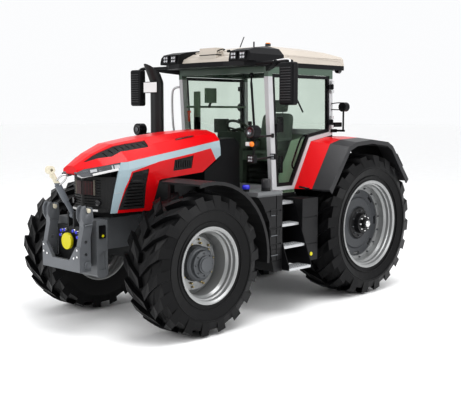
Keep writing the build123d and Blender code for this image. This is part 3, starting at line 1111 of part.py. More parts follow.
lift_rod = cross_rod(rocker_x, rocker_z, (ARM_MID - 25, ARM_MID + 25), LINK_BOSS)
lift_rod += upright(rocker_x, ARM_MID, (LOWER_Z + 110, rocker_z - 20), 22)
lift_rod += block((rocker_x - 30, rocker_x + 30), (ARM_MID - CLEVIS, ARM_MID + CLEVIS),
                  (LOWER_Z + 90, LOWER_Z + 130))
for side in (1, -1):
    lift_rod += block((rocker_x - 30, rocker_x + 30),
                      (ARM_MID + (CLEVIS - 12) * side, ARM_MID + CLEVIS * side),
                      (LOWER_Z - 40, LOWER_Z + 110))
lift_rod -= cross_rod(rocker_x, rocker_z, (200, 400), ROCKER_PIN + RUN_FIT)
save("lift_rods", lift_rod, mirrored(lift_rod))

rear_run = Vector(0.12, 0, 1).normalized()
rear_base = Vector(TOP_LINK_X, 0, TOP_LINK_Z)
rear_tip = rear_base + rear_run * TOP_LINK_LENGTH
rear_top = rod(rear_base + rear_run * 20, rear_tip, 24)
rear_top += rod(rear_base + rear_run * 190, rear_base + rear_run * 420, 33)
rear_top += cross_rod(TOP_LINK_X, TOP_LINK_Z, (-LINK_HALF, LINK_HALF), 32)
rear_top += cross_rod(rear_tip.X, rear_tip.Z, (-24, 24), 40)
rear_top -= cross_rod(rear_tip.X, rear_tip.Z, (-40, 40), LINK_EYE_BORE)
rear_top -= cross_rod(TOP_LINK_X, TOP_LINK_Z, (-40, 40), LINK_PIN + RUN_FIT)
save("rear_top_link", rear_top)
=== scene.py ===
import math
import bpy
from mathutils import Matrix, Vector


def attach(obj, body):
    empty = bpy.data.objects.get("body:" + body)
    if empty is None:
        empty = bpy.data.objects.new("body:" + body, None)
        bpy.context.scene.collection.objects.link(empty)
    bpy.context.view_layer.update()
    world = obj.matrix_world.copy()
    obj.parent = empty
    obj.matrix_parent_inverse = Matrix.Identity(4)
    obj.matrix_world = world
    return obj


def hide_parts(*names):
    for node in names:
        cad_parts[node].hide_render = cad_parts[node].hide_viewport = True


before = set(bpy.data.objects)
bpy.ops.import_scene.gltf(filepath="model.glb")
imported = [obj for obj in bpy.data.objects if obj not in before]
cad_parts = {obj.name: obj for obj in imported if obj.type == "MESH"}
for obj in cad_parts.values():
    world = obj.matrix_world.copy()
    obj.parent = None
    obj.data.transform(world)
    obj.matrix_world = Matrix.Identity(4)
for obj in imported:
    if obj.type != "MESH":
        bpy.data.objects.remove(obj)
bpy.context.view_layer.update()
bpy.ops.object.select_all(action="DESELECT")

# Places below are metres from the rear axle; the frame has the middle of the tractor at X zero
MID_X = 1.42888
WHEELBASE = 2.88
FRONT_WHEEL_Y = 0.924
REAR_WHEEL_Y = 0.845
FRONT_HUB_Z = 0.75
REAR_HUB_Z = 0.90
UP = Vector((0, 0, 1))
LEFT = Vector((0, 1, 0))
AHEAD = Vector((1, 0, 0))
SIDES = ((1, "left"), (-1, "right"))
# Faces count as looking one way when the cosine to that way is over this
SAME_WAY = 0.9
# Rounding of most edges, in metres
EDGE = 0.003


def at(x, y, z):
    """A point given from the rear axle, in the frame's own place."""
    return Vector((x - MID_X, y, z))


# Finishes: depth of the fine relief in metres, name of the shader
RELIEF = 0.004
SHADER = "Principled BSDF"


def parts_of(material):
    """The nodes and the links of a finish."""
    return material.node_tree.nodes, material.node_tree.links


def place_of(nodes):
    """The socket of a finish that gives the place on the piece."""
    return nodes["Texture Coordinate"].outputs["Object"]


def preset(node, values):
    """Sets inputs of a shader node by their names."""
    for label, value in values.items():
        node.inputs[label].default_value = value


def add_node(nodes, kind, values):
    """A new shader node with some of its inputs set."""
    node = nodes.new(f"ShaderNode{kind}")
    preset(node, values)
    return node


def base_finish(name, colour, rough, metal, spread, broad_scale):
    """A shader with its colour broken up a little, on which the other finishes build."""
    material = bpy.data.materials.new(name)
    material.use_nodes = True
    nodes, links = parts_of(material)
    preset(nodes[SHADER], {"Metallic": metal, "Roughness": rough})
    nodes.new("ShaderNodeTexCoord")
    broad = add_node(nodes, "TexNoise", {"Scale": broad_scale, "Detail": 5.0})
    links.new(place_of(nodes), broad.inputs["Vector"])
    tint = nodes.new("ShaderNodeValToRGB")
    for end, position, share in zip(tint.color_ramp.elements, (0.3, 0.7), (1.0 - spread, 1.0 + spread)):
        end.position = position
        end.color = (*[min(1.0, value * share) for value in colour], 1.0)
    links.new(broad.outputs["Fac"], tint.inputs["Fac"])
    links.new(tint.outputs["Color"], nodes[SHADER].inputs["Base Color"])
    return material


def second_colour(material, other, factor):
    """Mixes a second colour into a finish by a factor."""
    nodes, links = parts_of(material)
    choice = nodes.new("ShaderNodeMix")
    choice.data_type = "RGBA"
    choice.inputs["B"].default_value = (*other, 1.0)
    links.new(factor, choice.inputs["Factor"])
    links.new(nodes["Color Ramp"].outputs["Color"], choice.inputs["A"])
    links.new(choice.outputs["Result"], nodes[SHADER].inputs["Base Color"])


def relief_of(material, height, values):
    """Gives a finish a relief from a height."""
    nodes, links = parts_of(material)
    relief = add_node(nodes, "Bump", values)
    links.new(height, relief.inputs["Height"])
    links.new(relief.outputs["Normal"], nodes[SHADER].inputs["Normal"])
    return relief


def surface(name, colour, rough, metal=0.0, grain=90.0, spread=0.12, bump=0.1, coat=0.0, shine=0.5):
    """A finish whose colour and gloss vary a little over the piece, with a fine relief."""
    material = base_finish(name, colour, rough, metal, spread, broad_scale=2.3)
    nodes, links = parts_of(material)
    preset(nodes[SHADER], {"Coat Weight": coat, "Specular IOR Level": shine, "Coat Roughness": 0.06})
    fine = add_node(nodes, "TexNoise", {"Scale": grain, "Detail": 3.0})
    links.new(place_of(nodes), fine.inputs["Vector"])
    gloss = add_node(
        nodes, "MapRange", {"To Min": max(0.02, rough - 0.06), "To Max": min(1.0, rough + 0.06)})
    links.new(fine.outputs["Fac"], gloss.inputs["Value"])
    links.new(gloss.outputs["Result"], nodes[SHADER].inputs["Roughness"])
    relief_of(material, fine.outputs["Fac"], {"Strength": bump, "Distance": RELIEF})
    return material


def parted(material, other, build_test):
    """Gives a finish a second colour where a test on the place comes out as one."""
    nodes, links = parts_of(material)
    split = nodes.new("ShaderNodeSeparateXYZ")
    links.new(place_of(nodes), split.inputs["Vector"])
    second_colour(material, other, build_test(nodes, links, split))
    return material


def math_step(nodes, links, operation, one, two=None):
    """One sum on a place, given as a socket or a number."""
    node = nodes.new("ShaderNodeMath")
    node.operation = operation
    for socket, value in zip(node.inputs, (one, two)):
        if isinstance(value, (int, float)):
            socket.default_value = value
        elif value is not None:
            links.new(value, socket)
    return node.outputs["Value"]


def above(height):
    """A test for places above a height."""
    def build(nodes, links, split):
        return math_step(nodes, links, "GREATER_THAN", split.outputs["Z"], height)
    return build


def between(low, high):
    """A test for places between two heights."""
    def build(nodes, links, split):
        over = math_step(nodes, links, "GREATER_THAN", split.outputs["Z"], low)
        under = math_step(nodes, links, "LESS_THAN", split.outputs["Z"], high)
        return math_step(nodes, links, "MULTIPLY", over, under)
    return build


def near_axle(x, z, reach):
    """A test for places near a cross axis."""
    def build(nodes, links, split):
        across = math_step(nodes, links, "SUBTRACT", split.outputs["X"], x - MID_X)
        rise = math_step(nodes, links, "SUBTRACT", split.outputs["Z"], z)
        across = math_step(nodes, links, "MULTIPLY", across, across)
        rise = math_step(nodes, links, "MULTIPLY", rise, rise)
        total = math_step(nodes, links, "ADD", across, rise)
        return math_step(nodes, links, "LESS_THAN", total, reach * reach)
    return build


def mesh_finish(name, colour, scale):
    """Dark wire mesh: rounded cells with sunk middles."""
    material = base_finish(name, colour, rough=0.5, metal=0.2, spread=0.2, broad_scale=9.0)
    nodes, links = parts_of(material)
    cells = nodes.new("ShaderNodeTexVoronoi")
    cells.feature = "DISTANCE_TO_EDGE"
    preset(cells, {"Scale": scale, "Randomness": 0.15})
    links.new(place_of(nodes), cells.inputs["Vector"])
    wire = add_node(nodes, "MapRange", {"From Max": 0.12})
    links.new(cells.outputs["Distance"], wire.inputs["Value"])
    second_colour(material, (0.003, 0.003, 0.003), wire.outputs["Result"])
    relief = relief_of(material, wire.outputs["Result"], {"Strength": 0.6, "Distance": RELIEF})
    relief.invert = True
    return material


def perforated_finish(name, colour, centre, around, along):
    """Black sheet with rows of round holes about an upright axis."""
    material = base_finish(name, colour, rough=0.42, metal=0.3, spread=0.15, broad_scale=6.0)
    nodes, links = parts_of(material)
    centred = add_node(nodes, "Mapping", {"Location": (-centre.x, -centre.y, 0.0)})
    links.new(place_of(nodes), centred.inputs["Vector"])
    split = nodes.new("ShaderNodeSeparateXYZ")
    links.new(centred.outputs["Vector"], split.inputs["Vector"])
    turn = math_step(nodes, links, "ARCTAN2", split.outputs["Y"], split.outputs["X"])
    wave = math_step(nodes, links, "SINE", math_step(nodes, links, "MULTIPLY", turn, around))
    rise = math_step(nodes, links, "SINE", math_step(nodes, links, "MULTIPLY", split.outputs["Z"], along))
    hole = math_step(nodes, links, "GREATER_THAN", math_step(nodes, links, "MULTIPLY", wave, rise), 0.45)
    second_colour(material, (0.002, 0.002, 0.002), hole)
    relief = relief_of(material, hole, {"Strength": 0.5})
    relief.invert = True
    return material


def glass(name, colour, rough, ior):
    """Tinted glass that lets light through."""
    material = base_finish(name, colour, rough, metal=0.0, spread=0.03, broad_scale=1.5)
    preset(material.node_tree.nodes[SHADER], {"Transmission Weight": 1.0, "IOR": ior})
    return material


def lens_finish(name, colour, rough, glow):
    """A moulded lamp lens with fine ribs."""
    material = surface(name, colour, rough=rough, grain=40.0, spread=0.06, coat=0.8)
    nodes, links = parts_of(material)
    ribs = add_node(nodes, "TexWave", {"Scale": 55.0})
    ribs.bands_direction = "Y"
    links.new(place_of(nodes), ribs.inputs["Vector"])
    links.new(ribs.outputs["Fac"], nodes["Bump"].inputs["Height"])
    preset(nodes["Bump"], {"Strength": 0.25})
    preset(nodes[SHADER], {"Emission Color": (*colour, 1.0), "Emission Strength": glow})
    return material


DARK = (0.006, 0.006, 0.007)
red_paint = surface(
    "red_paint", (0.56, 0.002, 0.006), rough=0.30, spread=0.05, bump=0.015, coat=0.12, shine=0.25)
band_paint = surface("band_paint", (0.31, 0.395, 0.43), rough=0.45, spread=0.04, bump=0.015)
silver_paint = surface(
    "silver_paint", (0.44, 0.44, 0.45), rough=0.3, metal=0.25, spread=0.04, bump=0.015, coat=0.5)
roof_paint = surface(
    "roof_paint", (0.42, 0.38, 0.335), rough=0.45, grain=70.0, spread=0.04, bump=0.03, coat=0.1)
black_plastic = surface(
    "black_plastic", (0.005, 0.005, 0.006), rough=0.4, grain=180.0, spread=0.15, shine=0.15)
gloss_black = surface(
    "gloss_black", (0.005, 0.005, 0.006), rough=0.2, grain=120.0, spread=0.15, bump=0.02, coat=0.3,
    shine=0.4)
charcoal_plastic = surface(
    "charcoal_plastic", (0.022, 0.022, 0.024), rough=0.38, grain=180.0, bump=0.08, shine=0.4)
grey_cast = surface(
    "grey_cast", (0.12, 0.126, 0.133), rough=0.42, metal=0.1, grain=120.0, bump=0.2, shine=0.4)
link_grey = surface(
    "link_grey", (0.13, 0.137, 0.147), rough=0.38, metal=0.15, grain=120.0, bump=0.15, shine=0.4)
dark_cast = surface(
    "dark_cast", (0.016, 0.017, 0.018), rough=0.45, metal=0.1, grain=120.0, spread=0.15, bump=0.2,
    shine=0.35)
tyre_rubber = surface(
    "tyre_rubber", (0.0045, 0.0045, 0.005), rough=0.36, grain=150.0, spread=0.25, bump=0.15, shine=0.16)
rim_silver = surface(
    "rim_silver", (0.30, 0.305, 0.305), rough=0.32, metal=0.45, grain=80.0, spread=0.05, bump=0.03,
    coat=0.3)
fender_satin = surface("fender_satin", (0.012, 0.012, 0.013), rough=0.42, grain=160.0, bump=0.06, shine=0.3)
hub_grey = surface(
    "hub_grey", (0.075, 0.08, 0.086), rough=0.4, metal=0.15, grain=110.0, spread=0.1, shine=0.4)
step_metal = surface(
    "step_metal", (0.46, 0.47, 0.48), rough=0.36, metal=0.6, grain=140.0, spread=0.08, bump=0.15)
bright_steel = surface(
    "bright_steel", (0.66, 0.66, 0.66), rough=0.24, metal=0.9, grain=140.0, spread=0.08, bump=0.06)
brass_zinc = surface("brass_zinc", (0.42, 0.34, 0.18), rough=0.36, metal=0.85, grain=140.0, bump=0.06)
cream_paint = surface("cream_paint", (0.58, 0.54, 0.43), rough=0.5, bump=0.2)
mouth_beige = surface("mouth_beige", (0.14, 0.125, 0.10), rough=0.6)
trim_grey = surface("trim_grey", (0.40, 0.52, 0.38), rough=0.6, grain=200.0, spread=0.08, bump=0.12)
cab_plastic = surface("cab_plastic", (0.034, 0.046, 0.034), rough=0.6, grain=200.0, bump=0.15)
sage_plastic = surface("sage_plastic", (0.12, 0.19, 0.12), rough=0.55, grain=200.0, bump=0.15)
yellow_plastic = surface("yellow_plastic", (0.54, 0.49, 0.0), rough=0.38, spread=0.06, bump=0.04, coat=0.1)
blue_plastic = surface("blue_plastic", (0.025, 0.03, 0.52), rough=0.3, spread=0.08, bump=0.04, coat=0.3)
orange_plastic = surface("orange_plastic", (0.75, 0.07, 0.01), rough=0.4, spread=0.06, bump=0.04)
white_plastic = surface("white_plastic", (0.62, 0.62, 0.62), rough=0.32, spread=0.03, bump=0.02, coat=0.4)
rubber_seal = surface("rubber_seal", DARK, rough=0.6, grain=220.0, spread=0.2, bump=0.15, shine=0.3)
screen_glass = surface(
    "screen_glass", (0.02, 0.03, 0.035), rough=0.12, grain=30.0, spread=0.3, bump=0.0, coat=0.8)
mirror_glass = surface(
    "mirror_glass", (0.75, 0.77, 0.78), rough=0.04, metal=1.0, grain=20.0, spread=0.02, bump=0.0)
seat_cloth = surface("seat_cloth", (0.14, 0.175, 0.145), rough=0.85, grain=320.0, spread=0.25, bump=0.35)
# The tank's slanted top, between 1.388 and 1.4415 m, is painted lighter grey: a painted highlight on the
# top that faces the light
tank_plastic = parted(
    surface("tank_plastic", (0.009, 0.009, 0.010), rough=0.4, grain=120.0, spread=0.1, shine=0.25),
    (0.15, 0.155, 0.16), between(1.388, 1.4415))
link_paint = parted(
    surface("link_paint", (0.10, 0.11, 0.125), rough=0.4, metal=0.1, grain=120.0, spread=0.1),
    (0.58, 0.54, 0.43), above(1.60))
cab_paint = parted(
    surface("cab_paint", (0.44, 0.44, 0.45), rough=0.3, metal=0.1, spread=0.04, bump=0.015, coat=0.4),
    (0.05, 0.085, 0.06), above(2.735))
receiver_paint = parted(
    surface("receiver_paint", (0.50, 0.455, 0.40), rough=0.42, grain=70.0, spread=0.04, bump=0.03), DARK,
    above(3.09))
disc_charcoal = parted(
    surface("disc_charcoal", (0.050, 0.053, 0.058), rough=0.4, metal=0.1, grain=110.0, spread=0.1,
            bump=0.08, shine=0.4), DARK, near_axle(0.0, REAR_HUB_Z, reach=0.205))
hood_mesh = mesh_finish("hood_mesh", (0.014, 0.014, 0.015), scale=85.0)
red_mesh = mesh_finish("red_mesh", (0.10, 0.006, 0.008), scale=85.0)
stack_sheet = perforated_finish(
    "stack_sheet", (0.009, 0.009, 0.010), at(2.085, -0.56, 0), around=16, along=210)
green_glass = glass("green_glass", (0.79, 0.845, 0.80), rough=0.02, ior=1.15)
clear_lens = lens_finish("clear_lens", (0.42, 0.43, 0.45), rough=0.12, glow=0.03)
amber_lens = lens_finish("amber_lens", (0.80, 0.22, 0.01), rough=0.15, glow=0.05)
red_lens = lens_finish("red_lens", (0.55, 0.005, 0.008), rough=0.15, glow=0.05)
lamp_reflector = surface(
    "lamp_reflector", (0.12, 0.125, 0.135), rough=0.16, metal=0.7, grain=25.0, spread=0.8, coat=0.9)

NODE_FINISH = {
    "hood_shell": red_paint, "rear_fenders": red_paint, "hood_band": band_paint, "hood_grilles": hood_mesh,
    "headlamps": lamp_reflector, "cab_frame": cab_paint, "roof_panel": roof_paint,
    "roof_receiver": receiver_paint, "gearbox_housing": grey_cast, "rear_axle": grey_cast,
    "engine_block": dark_cast, "front_frame": grey_cast, "front_lift_frame": dark_cast,
    "front_lift_yoke": link_grey, "front_top_link": link_paint, "front_axle": dark_cast,
    "cooling_pack": hood_mesh, "step_treads": step_metal, "seat": seat_cloth, "dash": cab_plastic,
    "armrest_console": cab_plastic, "cab_floor": trim_grey, "fuel_tank": tank_plastic,
    "right_tank": tank_plastic, "fender_extensions": charcoal_plastic, "exhaust_stack": stack_sheet,
    "windscreen": green_glass, "rear_window": green_glass, "rear_hitch_frame": dark_cast,
    "rear_rockers": link_grey, "lower_links": link_grey, "lift_rods": link_grey, "rear_top_link": link_grey,
}
PAIR_FINISH = {
    "tyre": tyre_rubber, "rim": rim_silver, "front_hub": hub_grey, "rear_hub": disc_charcoal,
    "door_glass": green_glass, "front_fender": fender_satin, "knuckle": dark_cast,
}
for name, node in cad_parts.items():
    finish = NODE_FINISH.get(name, black_plastic)
    for word, paired in PAIR_FINISH.items():
        if f"{word}_left" in name or f"{word}_right" in name:
            finish = paired
    node.data.materials.clear()
    node.data.materials.append(finish)

# Painted shade: the fenders' faces that look downward are made black, for the shade under the fenders
fender_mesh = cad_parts["rear_fenders"].data
fender_mesh.materials.append(black_plastic)
for polygon in fender_mesh.polygons:
    if polygon.normal.z < -0.12:
        polygon.material_index = 1

# The cab's tub is pale inside and black outside
tub_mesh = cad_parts["cab_floor"].data
tub_mesh.materials.append(black_plastic)
for polygon in tub_mesh.polygons:
    outward = polygon.normal.y * polygon.center.y > 0.1
    if polygon.normal.x < -0.5 or polygon.normal.z < -0.3 or outward:
        polygon.material_index = 1


# Modelling helpers


def clear():
    """Leaves edit mode and lets go of every object."""
    if bpy.context.object and bpy.context.object.mode != "OBJECT":
        bpy.ops.object.mode_set(mode="OBJECT")
    bpy.ops.object.select_all(action="DESELECT")


def fix_place(piece):
    """Puts a piece's place, turn and scale into its mesh."""
    clear()
    piece.select_set(True)
    bpy.context.view_layer.objects.active = piece
    bpy.ops.object.transform_apply(location=True, rotation=True, scale=True)


def settle(piece, name, finish, body, angle=40.0):
    """Names a finished piece and gives it its finish and the body that it moves with."""
    fix_place(piece)
    piece.name = name
    piece.data.name = name
    piece.data.materials.clear()
    piece.data.materials.append(finish)
    bpy.ops.object.shade_smooth_by_angle(angle=math.radians(angle))
    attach(piece, body)
    clear()
    return piece


def round_edges(piece, width, steps=2):
    """Rounds the sharp edges of a piece."""
    bevel = piece.modifiers.new("edge", "BEVEL")
    bevel.width = width
    bevel.segments = steps
    bevel.limit_method = "ANGLE"
    bpy.ops.object.modifier_apply(modifier=bevel.name)


def pick_faces(piece, normal):
    """Selects the faces that look in one direction, and goes into edit mode."""
    bpy.ops.object.mode_set(mode="EDIT")
    bpy.ops.mesh.select_mode(type="FACE")
    bpy.ops.mesh.select_all(action="DESELECT")
    bpy.ops.object.mode_set(mode="OBJECT")
    for polygon in piece.data.polygons:
        polygon.select = polygon.normal.dot(normal) > SAME_WAY
    bpy.ops.object.mode_set(mode="EDIT")


def sunk_face(piece, normal, margin, depth):
    """Insets the faces on one side, and sinks or raises them."""
    pick_faces(piece, normal)
    bpy.ops.mesh.inset(thickness=margin, depth=depth)
    bpy.ops.object.mode_set(mode="OBJECT")


def divide(cuts):
    """Divides every face of the active piece, and stays in edit mode."""
    bpy.ops.object.mode_set(mode="EDIT")
    bpy.ops.mesh.select_all(action="SELECT")
    bpy.ops.mesh.subdivide(number_cuts=cuts)


def rough_box(low, high):
    """A box between two corners, its place already in its mesh."""
    clear()
    bpy.ops.mesh.primitive_cube_add(size=1.0, location=(low + high) / 2)
    piece = bpy.context.object
    piece.scale = [abs(value) for value in high - low]
    fix_place(piece)
    return piece


def box_piece(name, low, high, finish, panel, edge=EDGE, face=AHEAD, body="chassis"):
    """A box with rounded edges; panel is the margin and depth of an inset on the face named."""
    piece = rough_box(low, high)
    sunk_face(piece, face, *panel)
    round_edges(piece, edge)
    return settle(piece, name, finish, body)


def rough_round(start, end, radius, sides=32):
    """A round bar between two points."""
    clear()
    run = end - start
    turn = run.to_track_quat("Z", "Y").to_euler()
    bpy.ops.mesh.primitive_cylinder_add(
        vertices=sides, radius=radius, depth=run.length, location=(start + end) / 2, rotation=turn)
    piece = bpy.context.object
    fix_place(piece)
    return piece


def round_piece(
        name, start, end, finish, radius, panel, edge=EDGE, sides=32, body="chassis"):
    """A round piece between two points; panel is the margin and depth of an inset on its far end."""
    piece = rough_round(start, end, radius, sides)
    sunk_face(piece, (end - start).normalized(), *panel)
    round_edges(piece, edge)
    return settle(piece, name, finish, body)


def bar_piece(name, points, finish, width, height, edge=EDGE, body="chassis"):
    """A flat bar pushed out from point to point."""
    clear()
    run = points[1] - points[0]
    bpy.ops.mesh.primitive_plane_add(
        size=1.0, location=points[0], rotation=run.to_track_quat("Z", "Y").to_euler())
    piece = bpy.context.object
    piece.scale = (width, height, 1.0)
    fix_place(piece)
    bpy.ops.object.mode_set(mode="EDIT")
    bpy.ops.mesh.select_all(action="SELECT")
    for near, far in zip(points, points[1:]):
        bpy.ops.mesh.extrude_region_move(TRANSFORM_OT_translate={"value": far - near})
    bpy.ops.mesh.select_all(action="SELECT")
    bpy.ops.mesh.normals_make_consistent(inside=False)
    bpy.ops.object.mode_set(mode="OBJECT")
    round_edges(piece, edge)
    return settle(piece, name, finish, body)


def tube_piece(name, points, finish, radius, body="chassis"):
    """A bent round tube that follows a smooth line."""
    clear()
    bpy.ops.curve.primitive_nurbs_path_add()
    path = bpy.context.object
    path.data.splines.clear()
    line = path.data.splines.new("NURBS")
    line.points.add(len(points) - 1)
    for spot, point in zip(line.points, points):
        spot.co = (*point, 1.0)
    line.order_u = 3
    line.use_endpoint_u = True
    path.data.bevel_depth = radius
    path.data.bevel_resolution = 3
    path.data.use_fill_caps = True
    path.location = (0, 0, 0)
    bpy.ops.object.convert(target="MESH")
    return settle(bpy.context.object, name, finish, body, angle=60.0)


def ring_piece(name, centre, finish, radius, thick, flat, body):
    """A raised ring about a cross axis, flattened along that axis."""
    clear()
    bpy.ops.mesh.primitive_torus_add(
        major_radius=radius, minor_radius=thick, major_segments=72, minor_segments=10)
    piece = bpy.context.object
    piece.scale = (1.0, 1.0, flat)
    fix_place(piece)
    piece.rotation_euler = (math.radians(90), 0, 0)
    piece.location = centre
    return settle(piece, name, finish, body, angle=60.0)


def copies_round(piece, count, centre, start):
    """Copies a piece round a cross axis and joins the copies to it."""
    made = []
    for i in range(count):
        clear()
        piece.select_set(True)
        bpy.context.view_layer.objects.active = piece
        bpy.ops.object.duplicate(linked=False)
        copy = bpy.context.object
        turn = Matrix.Rotation(start + 2 * math.pi * i / count, 4, "Y")
        about_hub = Matrix.Translation(centre) @ turn @ Matrix.Translation(-centre)
        copy.matrix_world = about_hub @ copy.matrix_world
        made.append(copy)
    clear()
    bpy.data.objects.remove(piece)
    for copy in made:
        copy.select_set(True)
    bpy.context.view_layer.objects.active = made[0]
    bpy.ops.object.join()
    return bpy.context.object


def copies_along(piece, step, count):
    """Repeats a piece in a row by an array."""
    row = piece.modifiers.new("row", "ARRAY")
    row.use_relative_offset = False
    row.use_constant_offset = True
    row.constant_offset_displace = step
    row.count = count
    bpy.context.view_layer.objects.active = piece
    bpy.ops.object.modifier_apply(modifier=row.name)


def plate_piece(name, outline, finish, near, far, edge, body):
    """A flat plate with an outline in side view, pushed out across."""
    clear()
    corners = [at(x, near, z) for x, z in outline]
    bpy.ops.mesh.primitive_plane_add(size=0.01, location=corners[0])
    piece = bpy.context.object
    fix_place(piece)
    bpy.ops.object.mode_set(mode="EDIT")
    bpy.ops.mesh.select_mode(type="VERT")
    bpy.ops.mesh.select_all(action="SELECT")
    bpy.ops.mesh.merge(type="CENTER")
    for here, following in zip(corners, corners[1:]):
        bpy.ops.mesh.extrude_region_move(TRANSFORM_OT_translate={"value": following - here})
    bpy.ops.mesh.select_all(action="SELECT")
    bpy.ops.mesh.edge_face_add()
    bpy.ops.mesh.extrude_region_move(TRANSFORM_OT_translate={"value": LEFT * (far - near)})
    bpy.ops.mesh.select_all(action="SELECT")
    bpy.ops.mesh.normals_make_consistent(inside=False)
    bpy.ops.object.mode_set(mode="OBJECT")
    round_edges(piece, edge)
    return settle(piece, name, finish, body)


def on_node(node, point, lift):
    """The nearest place on a solid, lifted a little off its surface."""
    spot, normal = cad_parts[node].closest_point_on_mesh(point)[1:3]
    return spot + normal * lift


def facing_of(node, point):
    """The way that a solid's surface looks at the place nearest to a point."""
    return (on_node(node, point, 0.01) - on_node(node, point, 0.0)).normalized()


def lens_block(name, near, far, facing, finish, height, thick, body, slot):
    """A flat lens between two points on a sloping face, its front dished."""
    clear()
    run = (far - near).normalized()
    rise = facing.cross(run).normalized()
    outward = run.cross(rise)
    bpy.ops.mesh.primitive_cube_add(size=1.0)
    piece = bpy.context.object
    turn = Matrix((run, rise, outward)).transposed().to_4x4()
    size = Matrix.Diagonal(((far - near).length, height, thick, 1.0))
    piece.matrix_world = Matrix.Translation((near + far) / 2) @ turn @ size
    fix_place(piece)
    sunk_face(piece, outward, margin=0.004, depth=-0.003)
    round_edges(piece, 0.001)
    return settle(piece, name, finish, body)


# Wheels: bolts, caps, rings on the sidewalls, valve stems


def wheel_bolts(name, side, hub_x, hub_z, finish, body, reach, near, far, radius, count, start):
    """Hexagon bolt heads in a circle on a wheel."""
    first = at(hub_x + reach, near * side, hub_z)
    bolt = rough_round(first, first + LEFT * (far - near) * side, radius, sides=6)
    sunk_face(bolt, LEFT * side, margin=radius * 0.35, depth=radius * 0.5)
    round_edges(bolt, width=radius * 0.12, steps=1)
    circle = copies_round(bolt, count, at(hub_x, 0, hub_z), start)
    settle(circle, name, finish, body, angle=30.0)


HUBS = {"front": (WHEELBASE, FRONT_HUB_Z), "rear": (0, REAR_HUB_Z)}
# Wheel, name, finish, reach from the hub, near and far ends, radius, count and first angle
BOLT_CIRCLES = (
    ("front", "inner", brass_zinc, 0.216, 0.949, 0.975, 0.014, 10, 0.0),
    ("front", "outer", brass_zinc, 0.250, 0.949, 0.972, 0.012, 10, 0.12),
    ("front", "cap", hub_grey, 0.118, 1.080, 1.094, 0.009, 8, 0.0),
    ("rear", "hub", bright_steel, 0.092, 1.048, 1.074, 0.014, 8, 0.0),
    ("rear", "drum", hub_grey, 0.160, 0.984, 1.004, 0.011, 10, 0.2),
    ("rear", "disc", hub_grey, 0.452, 0.955, 0.972, 0.012, 16, 0.1),
)
for side, hand in SIDES:
    front_body = f"front_wheel_{hand}"
    rear_body = f"rear_wheel_{hand}"
    for wheel, label, finish, *sizes in BOLT_CIRCLES:
        circle_name = f"{wheel}_{label}_bolts_{hand}"
        wheel_bolts(circle_name, side, *HUBS[wheel], finish, f"{wheel}_wheel_{hand}", *sizes)
    round_piece(
        f"rear_cap_{hand}", at(0, 1.100 * side, REAR_HUB_Z), at(0, 1.122 * side, REAR_HUB_Z), bright_steel,
        radius=0.044, edge=0.006, panel=(0.012, 0.008), body=rear_body)
    round_piece(
        f"front_cap_{hand}", at(WHEELBASE, 1.112 * side, FRONT_HUB_Z),
        at(WHEELBASE, 1.124 * side, FRONT_HUB_Z), hub_grey, radius=0.075, edge=0.005, panel=(0.014, -0.004),
        body=front_body)
    for reach, off, label in ((0.572, 0.286, "outer"), (0.455, 0.262, "inner")):
        ring_piece(
            f"front_wall_ring_{label}_{hand}", at(WHEELBASE, (FRONT_WHEEL_Y + off) * side, FRONT_HUB_Z),
            tyre_rubber, radius=reach, thick=0.007, flat=0.7, body=front_body)
    for reach, off, label in ((0.715, 0.336, "outer"), (0.612, 0.310, "inner")):
        ring_piece(
            f"rear_wall_ring_{label}_{hand}", at(0, (REAR_WHEEL_Y + off) * side, REAR_HUB_Z), tyre_rubber,
            radius=reach, thick=0.008, flat=0.7, body=rear_body)
    for label, body, rough_spot in (
            ("front", front_body, at(WHEELBASE + 0.22, 1.09 * side, 0.52)),
            ("rear", rear_body, at(0.33, 1.03 * side, 0.58))):
        root = on_node(f"{label}_rim_{hand}", rough_spot, -0.003)
        stem = [
            root, root + Vector((-0.010, 0.022 * side, 0.014)),
            root + Vector((-0.020, 0.042 * side, 0.030))]
        tube_piece(f"{label}_valve_{hand}", stem, bright_steel, radius=0.007, body=body)

# Headlamps: pale trim along the lower edge, and lamp cells with their two ends, height and finish
LAMP_CELLS = (
    ((3.402, 0.374, 1.766), (3.452, 0.345, 1.757), 0.036, clear_lens),
    ((3.466, 0.340, 1.755), (3.478, 0.333, 1.752), 0.044, clear_lens),
    ((3.492, 0.325, 1.749), (3.590, 0.262, 1.731), 0.030, lamp_reflector),
    ((3.606, 0.250, 1.728), (3.662, 0.208, 1.716), 0.030, clear_lens),
    ((3.676, 0.196, 1.713), (3.716, 0.150, 1.704), 0.020, lamp_reflector),
)
for side, hand in SIDES:
    lower = [
        (3.430, 0.395, 1.738), (3.530, 0.31, 1.708), (3.626, 0.24, 1.684), (3.712, 0.12, 1.664),
        (3.742, 0.10, 1.69)]
    trim = [on_node("headlamps", at(x, y * side, z), 0.002) for x, y, z in lower]
    bar_piece(
        f"lamp_trim_{hand}", trim, white_plastic, width=0.010, height=0.026, body="hood")
    upper = [(3.405, 0.40, 1.792), (3.560, 0.26, 1.762), (3.705, 0.10, 1.732)]
    brow = [on_node("headlamps", at(x, y * side, z), 0.0005) for x, y, z in upper]
    bar_piece(f"lamp_brow_{hand}", brow, gloss_black, width=0.005, height=0.008, edge=0.001, body="hood")
    for i, (near, far, tall, finish) in enumerate(LAMP_CELLS):
        ends = [on_node("headlamps", at(x, y * side, z), 0.001) for x, y, z in (near, far)]
        facing = facing_of("headlamps", (ends[0] + ends[1]) / 2)
        lens_block(
            f"lamp_cell_{hand}_{i}", *ends, facing, finish, height=tall, thick=0.008, body="hood",
            slot="lamp_clear")

# Black liner in the slot on the hood's shoulder
for side, hand in SIDES:
    liner = [
        on_node("hood_shell", at(x, 0.322 * side, z), -0.004) for x, z in ((2.330, 2.055), (2.578, 2.02))]
    bar_piece(f"hood_slot_{hand}", liner, gloss_black, width=0.030, height=0.010, edge=0.002, body="hood")

